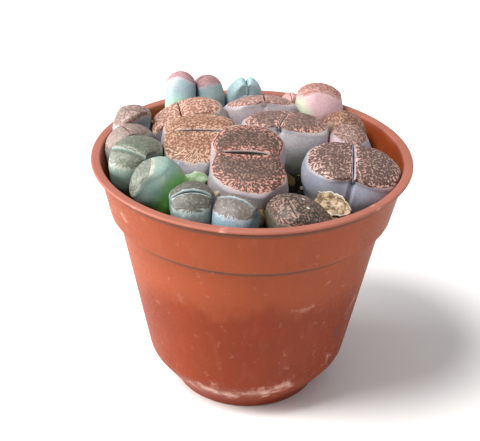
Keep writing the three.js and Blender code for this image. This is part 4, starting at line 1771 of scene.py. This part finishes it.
@dataclass(frozen=True)
class Studio:
    """The floor, the lights and the camera of the photograph. Sizes are in metres."""

    focus: tuple[float, float, float] = (-0.0038, 0.0, 0.0673)
    camera: tuple[float, float, float] = (0.0, -0.4492, 0.31565)
    roll: float = 1.59  # degrees
    lens: float = 100.45  # focal length in millimetres, for a frame 36 mm wide
    floor_reach: float = 6.0
    sky: float = 0.48
    sun_power: float = 3.2
    sun_colour: tuple[float, float, float] = (1.0, 0.985, 0.96)
    sun_width: float = 26.0  # degrees, for soft shadows
    sun_bearing: float = 208.0  # where it shines from
    sun_climb: float = 58.0
    lamps: tuple[Lamp, ...] = (Lamp("left_box", (-1.2, -0.15, 0.35), 0.8, 19.0),)
    lamp_target: tuple[float, float, float] = (0.0, 0.0, 0.07)

    def build(self) -> None:
        """Lay the floor, hang the lights and stand the camera."""
        self.build_floor()
        self.build_sky()
        self.build_sun()
        for lamp in self.lamps:
            lamp.build(Vector(self.lamp_target))
        self.build_camera()
        bpy.context.scene.view_settings.view_transform = "Standard"

    def build_floor(self) -> None:
        """Lay a plain pale floor."""
        reach = self.floor_reach
        mesh = bpy.data.meshes.new("floor")
        corners = [(x * reach, y * reach, 0.0) for x, y in ((-1, -1), (1, -1), (1, 1), (-1, 1))]
        mesh.from_pydata(corners, [], [(0, 1, 2, 3)])
        floor = bpy.data.objects.new("floor", mesh)
        bpy.context.scene.collection.objects.link(floor)
        sheet = NodeSheet("floor_paper")
        grain = sheet.cloud(sheet.place(), 30.0, 3.0, 0.5)
        colour = sheet.mix(grain, rgb(249, 249, 249), rgb(252, 252, 252))
        mesh.materials.append(sheet.finish(colour, 0.9, gloss=0.1))

    def build_sky(self) -> None:
        """Fill the room with even white light."""
        world = bpy.data.worlds.new("studio_sky")
        world.use_nodes = True
        sky = world.node_tree.nodes["Background"]
        sky.inputs["Color"].default_value = (1.0, 1.0, 1.0, 1.0)
        sky.inputs["Strength"].default_value = self.sky
        bpy.context.scene.world = world

    def build_sun(self) -> None:
        """Hang a broad distant light at the left, which lights the whole floor alike."""
        light = bpy.data.lights.new("key_light", "SUN")
        light.energy = self.sun_power
        light.angle = np.radians(self.sun_width)
        light.color = self.sun_colour
        bearing, climb = np.radians((self.sun_bearing, self.sun_climb))
        level = np.cos(climb)
        way = Vector((np.cos(bearing) * level, np.sin(bearing) * level, np.sin(climb)))
        holder = bpy.data.objects.new("key_light", light)
        holder.rotation_euler = way.to_track_quat("Z", "Y").to_euler()
        bpy.context.scene.collection.objects.link(holder)

    def build_camera(self) -> None:
        """Stand the camera where the photograph was taken from, with its slight roll."""
        here = Vector(self.camera)
        forward = (Vector(self.focus) - here).normalized()
        right = forward.cross(Vector((0.0, 0.0, 1.0))).normalized()
        up = right.cross(forward)
        c = np.cos(np.radians(self.roll))
        s = np.sin(np.radians(self.roll))
        axis_x = c * right + s * up
        axis_y = c * up - s * right
        turn = Matrix((axis_x, axis_y, -forward)).transposed().to_4x4()
        lens = bpy.data.cameras.new("camera")
        lens.lens = self.lens
        lens.sensor_width = 36.0
        lens.clip_start = 0.02
        lens.clip_end = 50.0
        camera = bpy.data.objects.new("camera", lens)
        camera.matrix_world = Matrix.Translation(here) @ turn
        bpy.context.scene.collection.objects.link(camera)
        bpy.context.scene.camera = camera


# --------------------------------------------------------------- the planted bowl
CENTRE = LeafFinish(
    window=rgb(112, 86, 76), window_deep=rgb(80, 62, 54), groove=rgb(112, 58, 48),
    island=rgb(198, 142, 128), heart=rgb(132, 100, 88), border=rgb(190, 162, 150), skin=rgb(172, 164, 172),
    skin_low=rgb(134, 132, 130), depths=rgb(92, 86, 74), spacing=0.9, stretch=0.72, centre=0.57,
    margin=0.492, belt=6.4, jag=0.5, rim=0.25,
)
AMBER = LeafFinish(
    window=rgb(142, 92, 70), window_deep=rgb(132, 90, 70), groove=rgb(128, 80, 62),
    island=rgb(206, 168, 142), heart=rgb(180, 138, 114), border=rgb(200, 180, 168), skin=rgb(126, 126, 138),
    skin_low=rgb(104, 106, 114), depths=rgb(112, 92, 76), spacing=0.95, stretch=0.7, centre=0.5, belt=5.5,
    jag=1.2, rim=0.25,
)
CORAL = replace(
    AMBER, window=rgb(164, 116, 98), window_deep=rgb(146, 102, 86), groove=rgb(146, 94, 78),
    island=rgb(214, 176, 158), heart=rgb(202, 162, 146), skin=rgb(158, 150, 148), spacing=1.05, stretch=0.6,
    centre=0.49, margin=0.485, belt=4.0,
)
SLATE = LeafFinish(
    window=rgb(118, 90, 82), window_deep=rgb(92, 70, 64), groove=rgb(98, 64, 58), island=rgb(214, 174, 160),
    heart=rgb(168, 134, 122), border=rgb(196, 182, 184), skin=rgb(170, 178, 196),
    skin_low=rgb(138, 142, 152), spacing=0.92, stretch=0.6, centre=0.565, margin=0.48, jag=0.6,
)
LILAC_RIGHT = replace(
    CENTRE, window=rgb(126, 98, 88), window_deep=rgb(100, 78, 72), groove=rgb(122, 82, 74),
    island=rgb(206, 158, 142), heart=rgb(150, 116, 104), border=rgb(190, 178, 178), skin=rgb(182, 178, 182),
    skin_low=rgb(138, 142, 134), margin=0.48, belt=4.4, spacing=1.05,
)
LILAC_BACK = replace(
    CENTRE, window=rgb(150, 114, 106), window_deep=rgb(136, 102, 94), groove=rgb(150, 104, 94),
    island=rgb(208, 166, 152), heart=rgb(184, 144, 132), border=rgb(212, 200, 202), skin=rgb(176, 164, 170),
    skin_low=rgb(170, 152, 148), spacing=0.95, centre=0.49, margin=0.48, belt=2.6,
)
ROSY = LeafFinish(
    window=rgb(150, 106, 96), window_deep=rgb(160, 110, 98), groove=rgb(170, 112, 100),
    island=rgb(190, 150, 140), heart=rgb(180, 140, 130), border=rgb(206, 172, 172), skin=rgb(200, 164, 170),
    skin_low=rgb(222, 164, 178), flush=rgb(196, 200, 176), spacing=1.0, centre=0.5, margin=0.48, belt=2.5,
    jag=1.1, rim=0.6,
)
PINK = replace(
    ROSY, window=rgb(200, 154, 150), window_deep=rgb(196, 146, 144), groove=rgb(214, 160, 156),
    island=rgb(208, 170, 166), heart=rgb(206, 166, 162),
)
AMBER_RIGHT = replace(
    AMBER, window=rgb(126, 86, 68), window_deep=rgb(112, 78, 64), groove=rgb(122, 76, 60),
    island=rgb(178, 136, 114), heart=rgb(164, 122, 100), border=rgb(160, 136, 116), skin=rgb(134, 108, 88),
    skin_low=rgb(104, 92, 70), spacing=1.0, margin=0.48, belt=3.0,
)
SMALL_RIGHT = replace(
    SLATE, window=rgb(104, 78, 72), window_deep=rgb(110, 84, 76), groove=rgb(122, 84, 74),
    island=rgb(168, 132, 120), heart=rgb(152, 118, 108), skin=rgb(152, 148, 158),
    skin_low=rgb(132, 138, 126), flush=rgb(208, 170, 178), spacing=0.95, centre=0.5, belt=2.5,
    border=rgb(176, 162, 164),
)
DARK = LeafFinish(
    window=rgb(88, 76, 66), window_deep=rgb(64, 58, 50), groove=rgb(84, 56, 50), island=rgb(162, 126, 112),
    heart=rgb(144, 114, 102), border=rgb(150, 130, 118), skin=rgb(84, 80, 66), skin_low=rgb(50, 56, 42),
    spacing=0.95, stretch=0.7, centre=0.51, margin=0.48, belt=2.0, jag=0.6, rim=0.15,
    depths=rgb(168, 160, 152),
)
BLUE_FRONT = LeafFinish(
    window=rgb(116, 106, 99), window_deep=rgb(108, 102, 96), groove=rgb(118, 108, 102),
    island=rgb(132, 124, 118), heart=rgb(128, 120, 114), border=rgb(164, 170, 174), skin=rgb(124, 152, 166),
    skin_low=rgb(100, 134, 146), spacing=1.2, margin=0.54, belt=2.0, jag=0.9, rim=0.5, relief=0.08,
    roughness=0.5,
)
GREY_FRONT = replace(
    BLUE_FRONT, window=rgb(98, 95, 86), window_deep=rgb(90, 88, 80), groove=rgb(98, 94, 86),
    island=rgb(112, 107, 97), heart=rgb(108, 103, 94), border=rgb(160, 170, 168), skin=rgb(120, 134, 136),
    skin_low=rgb(84, 92, 86), roughness=0.45,
)
GREEN_LEFT = replace(
    BLUE_FRONT, window=rgb(116, 120, 110), window_deep=rgb(104, 110, 100), groove=rgb(122, 124, 114),
    island=rgb(136, 136, 126), heart=rgb(130, 134, 124), border=rgb(184, 182, 164), skin=rgb(124, 156, 148),
    skin_low=rgb(114, 160, 142), flush=rgb(116, 186, 80), jag=1.0, rim=0.6,
)
OLIVE_LEFT = replace(
    BLUE_FRONT, window=rgb(110, 115, 100), window_deep=rgb(102, 110, 96), groove=rgb(116, 120, 106),
    island=rgb(126, 130, 114), heart=rgb(122, 126, 112), border=rgb(174, 172, 160), skin=rgb(116, 146, 136),
    skin_low=rgb(62, 92, 74), gloss=0.45, roughness=0.42, rim=0.45,
)
ROSE_LEFT = replace(
    BLUE_FRONT, window=rgb(154, 134, 128), window_deep=rgb(138, 122, 116), groove=rgb(140, 106, 96),
    island=rgb(166, 144, 136), heart=rgb(160, 138, 130), border=rgb(170, 164, 162), skin=rgb(142, 158, 158),
    skin_low=rgb(96, 120, 112), spacing=1.0, centre=0.5, margin=0.5, jag=0.5,
)
ROSE_RIM = replace(
    ROSE_LEFT, window=rgb(136, 108, 100), window_deep=rgb(122, 98, 90), skin=rgb(122, 142, 152),
    skin_low=rgb(96, 124, 130), border=rgb(172, 166, 166), roughness=0.45,
)
BLUE_COLUMN = LeafFinish(
    window=rgb(172, 130, 132), window_deep=rgb(160, 120, 124), groove=rgb(168, 124, 128),
    island=rgb(182, 140, 142), heart=rgb(178, 138, 140), border=rgb(196, 178, 186), skin=rgb(152, 178, 186),
    skin_low=rgb(160, 206, 174), flush=rgb(166, 214, 182), spacing=0.9, centre=0.48, margin=0.48, belt=2.0,
    jag=1.1, rim=0.4, relief=0.06,
)
BLUE_PINK = replace(
    BLUE_COLUMN, window=rgb(164, 122, 126), groove=rgb(156, 118, 120), skin=rgb(134, 162, 164),
    skin_low=rgb(114, 146, 144), border=rgb(176, 160, 168),
)
BLUE_BACK = replace(
    BLUE_COLUMN, window=rgb(160, 186, 192), window_deep=rgb(156, 182, 188), groove=rgb(150, 176, 180),
    island=rgb(166, 190, 194), heart=rgb(166, 190, 194), border=rgb(168, 188, 194), skin=rgb(156, 184, 188),
    skin_low=rgb(130, 168, 152), jag=0.4, rim=0.3,
)

# Each pair: its name, spot, size, turn and lean, then the halves, notch, slope and crown of
# the CAD body with its sides, the slot and the finish, and the rest by name.
PAIRS = [
    LeafPair(
        "plant_centre", (-1.5, -18.5, 9.5), (34, 29, 29), 271, (17, 275),
        (1.16, 1.1), 0.16, 0.03, 0.12, 24, "lithops_lilac", CENTRE,
        fine=300, slit=0.85, span=(0.7, 0.62), furrow=0.25, cleft=0.2, crease=0.9, inset=1.8, skew=0.12,
        lip=0.026, valley=0.7, lips=0.0, roll=1.15, dome=0.3, lift=0.8,
    ),
    LeafPair(
        "plant_orange_large", (-19.8, 2, 7.5), (32.5, 31, 28), 270, (13, 262),
        (1.2, 0.98), 0.1, 0.06, 0.13, 24, "lithops_amber", AMBER,
        seed=2, fine=300, slit=0.55, span=(0.7, 0.7), furrow=0.12, cleft=0.1, crease=0.4, inset=2.6,
        lip=0.022, valley=0.5, lips=0.0, roll=1.15, slide=(1.2, 0.0), lift=1.3,
    ),
    LeafPair(
        "plant_orange_back", (-28.5, 22.5, 7), (29.5, 20, 27), 190, (20, 192),
        (1.05, 1.08), 0.14, 0.12, 0.14, 20, "lithops_amber", CORAL,
        seed=3, furrow=0.8, cleft=0.4, crease=1.3, inset=0.9, valley=0.7, lips=-0.6, roll=1.3, lift=1.0,
    ),
    LeafPair(
        "plant_right_large", (37.3, -12, 5.6), (36, 26.5, 30), 358, (12, 312),
        (1.06, 0.97), 0.16, 0.08, 0.12, 24, "lithops_lilac", SLATE,
        seed=4, fine=300, slit=0.2, furrow=1.0, cleft=0.55, crease=1.6, inset=1.0, valley=1.0, lip=0.055,
        lips=-0.05, lift=0.6,
    ),
    LeafPair(
        "plant_lilac_right", (11.8, 16, 8.3), (34, 19.5, 28), 346, (4, 100),
        (1.06, 0.97), 0.18, 0.08, 0.14, 24, "lithops_lilac", LILAC_RIGHT,
        seed=5, fine=280, slit=0.2, furrow=1.0, cleft=0.6, crease=1.4, inset=1.4, valley=0.8, lip=0.06,
        lips=-0.1, lift=0.8,
    ),
    LeafPair(
        "plant_lilac_back", (4, 34, 7.8), (29, 17, 27), 183, (14, 95),
        (1.12, 0.9), 0.16, 0.14, 0.14, 20, "lithops_lilac", LILAC_BACK,
        seed=6, inset=1.6, valley=0.5, lips=-0.3, roll=1.2, lift=1.3,
    ),
    LeafPair(
        "plant_pink_back", (26.3, 44.5, 9.2), (18, 20, 29), 276, (14, 70),
        (1.2, 0.7), 0.06, 0.2, 0.22, 20, "lithops_pink", ROSY,
        seed=7, cleft=0.2, crease=0.8, wrinkle=0.9, flush=Flush(205, -10, 7.5, 12.0), power=1.8, inset=3.4,
        roll=1.3, slide=(1.8, 0.0), lips=-1.5, dome=3.0, lift=1.2,
    ),
    LeafPair(
        "plant_pink_small", (14.6, 45.5, 4.6), (13, 10, 18), 190, (8, 180),
        (1.1, 0.9), 0.12, 0.3, 0.35, 16, "lithops_pink", PINK,
        seed=8, fine=140, slit=0.1, crease=0.5, wrinkle=0.25, power=2.0, lips=-1.0, roll=1.3, dome=1.5,
        lift=0.5,
    ),
    LeafPair(
        "plant_amber_right", (35.5, 25.5, 5.5), (19, 17.5, 24), 320, (6, 40),
        (1, 1), 0.12, 0.18, 0.16, 20, "lithops_amber", AMBER_RIGHT,
        seed=9, fine=200, lip=0.01, furrow=0.0, span=(0.2, 0.1), lips=-1.0, roll=1.9, dome=1.4, lift=1.0,
    ),
    LeafPair(
        "plant_small_right", (37.2, 7.0, 7.8), (13.5, 19.5, 25), 219, (12, 250),
        (1.2, 0.8), 0.08, 0.14, 0.18, 20, "lithops_lilac", SMALL_RIGHT,
        seed=10, fine=220, slit=0.06, furrow=0.0, cleft=0.15, crease=0.5, inset=2.6,
        flush=Flush(225, -20, 3.5, 7.0), lip=0.01, span=(0.2, 0.1), lips=-1.0, roll=1.9, dome=1.4, lift=1.0,
    ),
    LeafPair(
        "plant_dark_front", (12.8, -42.2, 2.2), (24.5, 22.5, 20), 22, (5, 270),
        (1.48, 0.56), 0.06, 0.28, 0.12, 20, "lithops_dark", DARK,
        seed=11, fine=260, slit=0.42, span=(0.95, -0.1), furrow=0.0, crease=0.0, inset=0.8,
        roll=1.4, lips=-0.1, lip=0.02, specks=((5.8, 0.0), (5.4, -5.1), (12.4, 3.6), (8.4, 4.4)), dome=0.8,
        lift=1.5,
    ),
    LeafPair(
        "plant_blue_front", (-5, -45, 3), (17, 17, 21), 247, (10, 268),
        (0.98, 1), 0.12, 0.14, 0.14, 20, "lithops_blue", BLUE_FRONT,
        seed=12, fine=200, slit=0.2, lip=0.04, inset=2.2, power=1.9, roll=1.6, lips=0.15, bow=-0.8,
        dome=1.6, lift=1.4,
    ),
    LeafPair(
        "plant_grey_front", (-20.4, -43, 3.4), (20, 16.2, 22), 273, (20, 262),
        (0.85, 1.3), 0.12, 0.12, 0.16, 20, "lithops_olive", GREY_FRONT,
        seed=13, fine=200, slit=0.35, lip=0.04, inset=2.6, power=1.9, roll=1.6, lips=0.5, bow=-1.3,
        dome=2.0, lift=2.0,
    ),
    LeafPair(
        "plant_green_left", (-39, -27, 5.6), (19.5, 14, 25), 5, (44, 188),
        (1, 1), 0.12, 0.12, 0.14, 20, "lithops_olive", GREEN_LEFT,
        seed=14, slit=0.04, furrow=0.0, inset=3.0, flush=Flush(330, -30, 8.5, 15.0), lip=0.008,
        slide=(1.8, 0.0), lips=-1.0, roll=1.4, power=2.0, dome=1.5, crease=0.0, lift=0.9,
    ),
    LeafPair(
        "plant_olive_left", (-44.8, -15, 5.8), (23, 16.8, 25), 246, (20, 255),
        (0.68, 1.5), 0.26, 0.18, 0.2, 20, "lithops_olive", OLIVE_LEFT,
        seed=15, fine=220, slit=0.1, cleft=0.6, power=1.9, inset=2.0, lip=0.14, furrow=1.0, crease=2.0,
        dent_width=0.4, roll=1.4, lips=0.0, dome=1.0, lift=2.2,
    ),
    LeafPair(
        "plant_rose_left", (-48.5, 8.5, 4.4), (22, 11.5, 22), 217, (12, 210),
        (1, 1), 0.16, 0.16, 0.2, 16, "lithops_rose", ROSE_LEFT,
        seed=16, fine=180, lip=0.022, inset=1.4, lips=-1.0, roll=2.0, dome=1.2, lift=0.9,
    ),
    LeafPair(
        "plant_rose_rim", (-46.6, 20.2, 7.8), (19, 14, 26), 230, (8, 160),
        (1.05, 0.95), 0.16, 0.2, 0.2, 20, "lithops_rose", ROSE_RIM,
        seed=17, fine=200, lip=0.022, inset=1.6, lips=-1.0, roll=2.0, dome=1.2, lift=0.9,
    ),
    LeafPair(
        "plant_blue_column", (-29.3, 43, 14.2), (15, 12.8, 33), 262, (5, 110),
        (1, 1), 0.04, 0.3, 0.42, 16, "lithops_blue", BLUE_COLUMN,
        seed=18, fine=180, slit=0.08, cleft=0.1, crease=0.3, power=1.9, inset=3.0, roll=1.0, lips=-1.5,
        slide=(1.6, 0.0), dome=3.4, flush=Flush(262, -65, 8.0, 14.5), lift=0.0,
    ),
    LeafPair(
        "plant_blue_pink", (-19, 47.5, 11), (14.5, 12.5, 29), 305, (6, 90),
        (1.08, 0.95), 0.14, 0.26, 0.34, 16, "lithops_blue", BLUE_PINK,
        seed=19, fine=180, power=1.9, inset=2.6, roll=1.0, lips=-1.5, slide=(0.9, 0.0), dome=2.4, lift=0.0,
    ),
    LeafPair(
        "plant_blue_back", (-3.2, 50, 8), (15.5, 11, 26), 186, (6, 120),
        (1.2, 0.8), 0.24, 0.26, 0.42, 16, "lithops_blue", BLUE_BACK,
        seed=20, fine=180, cleft=0.5, crease=0.3, power=2.0, furrow=0.45, lip=0.24, slit=0.02,
        dent_width=0.5, lips=-1.0, dome=0.6, roll=1.0, lift=1.6,
    ),
]

STRAW = ScrapFinish(rgb(192, 168, 136), rgb(106, 82, 54), rgb(234, 226, 212))
TAN = ScrapFinish(rgb(196, 160, 104), rgb(134, 98, 56), rgb(214, 186, 136))
OCHRE = ScrapFinish(rgb(146, 118, 66), rgb(84, 66, 34), rgb(196, 172, 118))
HUSK = ScrapFinish(rgb(200, 182, 158), rgb(128, 104, 82), rgb(226, 216, 198))
FADED = ScrapFinish(rgb(204, 200, 176), rgb(158, 148, 116), rgb(232, 230, 214))
GREENISH = ScrapFinish(rgb(164, 188, 152), rgb(118, 146, 106), rgb(208, 218, 192))

SCRAPS = [
    Scrap(
        "husk_right", "dry_leaf", STRAW,
        (
            Blade((29.8, -34.4, -2.4), 18, 8, 311, 4, 54, -95, -36),
            Blade((28.4, -35.6, -5), 11, 7, 308, -4, 20, -60, 40),
        ),
    ),
    Scrap(
        "husk_front", "dry_leaf", HUSK,
        (
            Blade((-12.6, -33.6, -0.8), 8, 5, 60, 25, 20, 150, 60),
            Blade((-12.4, -34.8, -2.6), 8, 4, 110, -20, 0, 90, 40),
        ),
    ),
    Scrap(
        "leaf_withered_green", "green_leaf", GREENISH,
        (Blade((-20.8, -19.8, -1.2), 10.5, 7, 4, 6, 38, 90, 50),),
    ),
    Scrap("leaf_dry_tan", "dry_leaf", TAN, (Blade((-17.2, -25.5, -4.5), 9, 3, 100, -35, 70, 70, 30),)),
    Scrap("leaf_dry_front", "dry_leaf", OCHRE, (Blade((4.4, -39, -6), 11, 4.5, 75, 12, 50, 70, 40),)),
    Scrap("leaf_dry_middle", "dry_leaf", OCHRE, (Blade((14.5, 0.5, -9.2), 10, 4.5, 115, 8, 15, 70, 60),)),
    Scrap("leaf_dry_left", "dry_leaf", TAN, (Blade((-40, 31, -3), 11, 5, 240, 35, 10, 60, 30),)),
    Scrap("leaf_pale_left", "dry_leaf", FADED, (Blade((-36, 5, -3), 9, 4, 80, 10, 60, 90, 40),)),
]


def main() -> None:
    """Build the studio, the pot, the plants, the soil and the scraps, in that order."""
    logging.basicConfig(level=logging.INFO, format="%(name)s: %(message)s")
    Studio().build()
    Pot().build()
    presses = find_presses(PAIRS)
    bodies = [pair.build(presses[pair.name]) for pair in PAIRS]
    Soil().build(bodies)
    for scrap in SCRAPS:
        scrap.build()


if __name__ == "__main__":
    main()
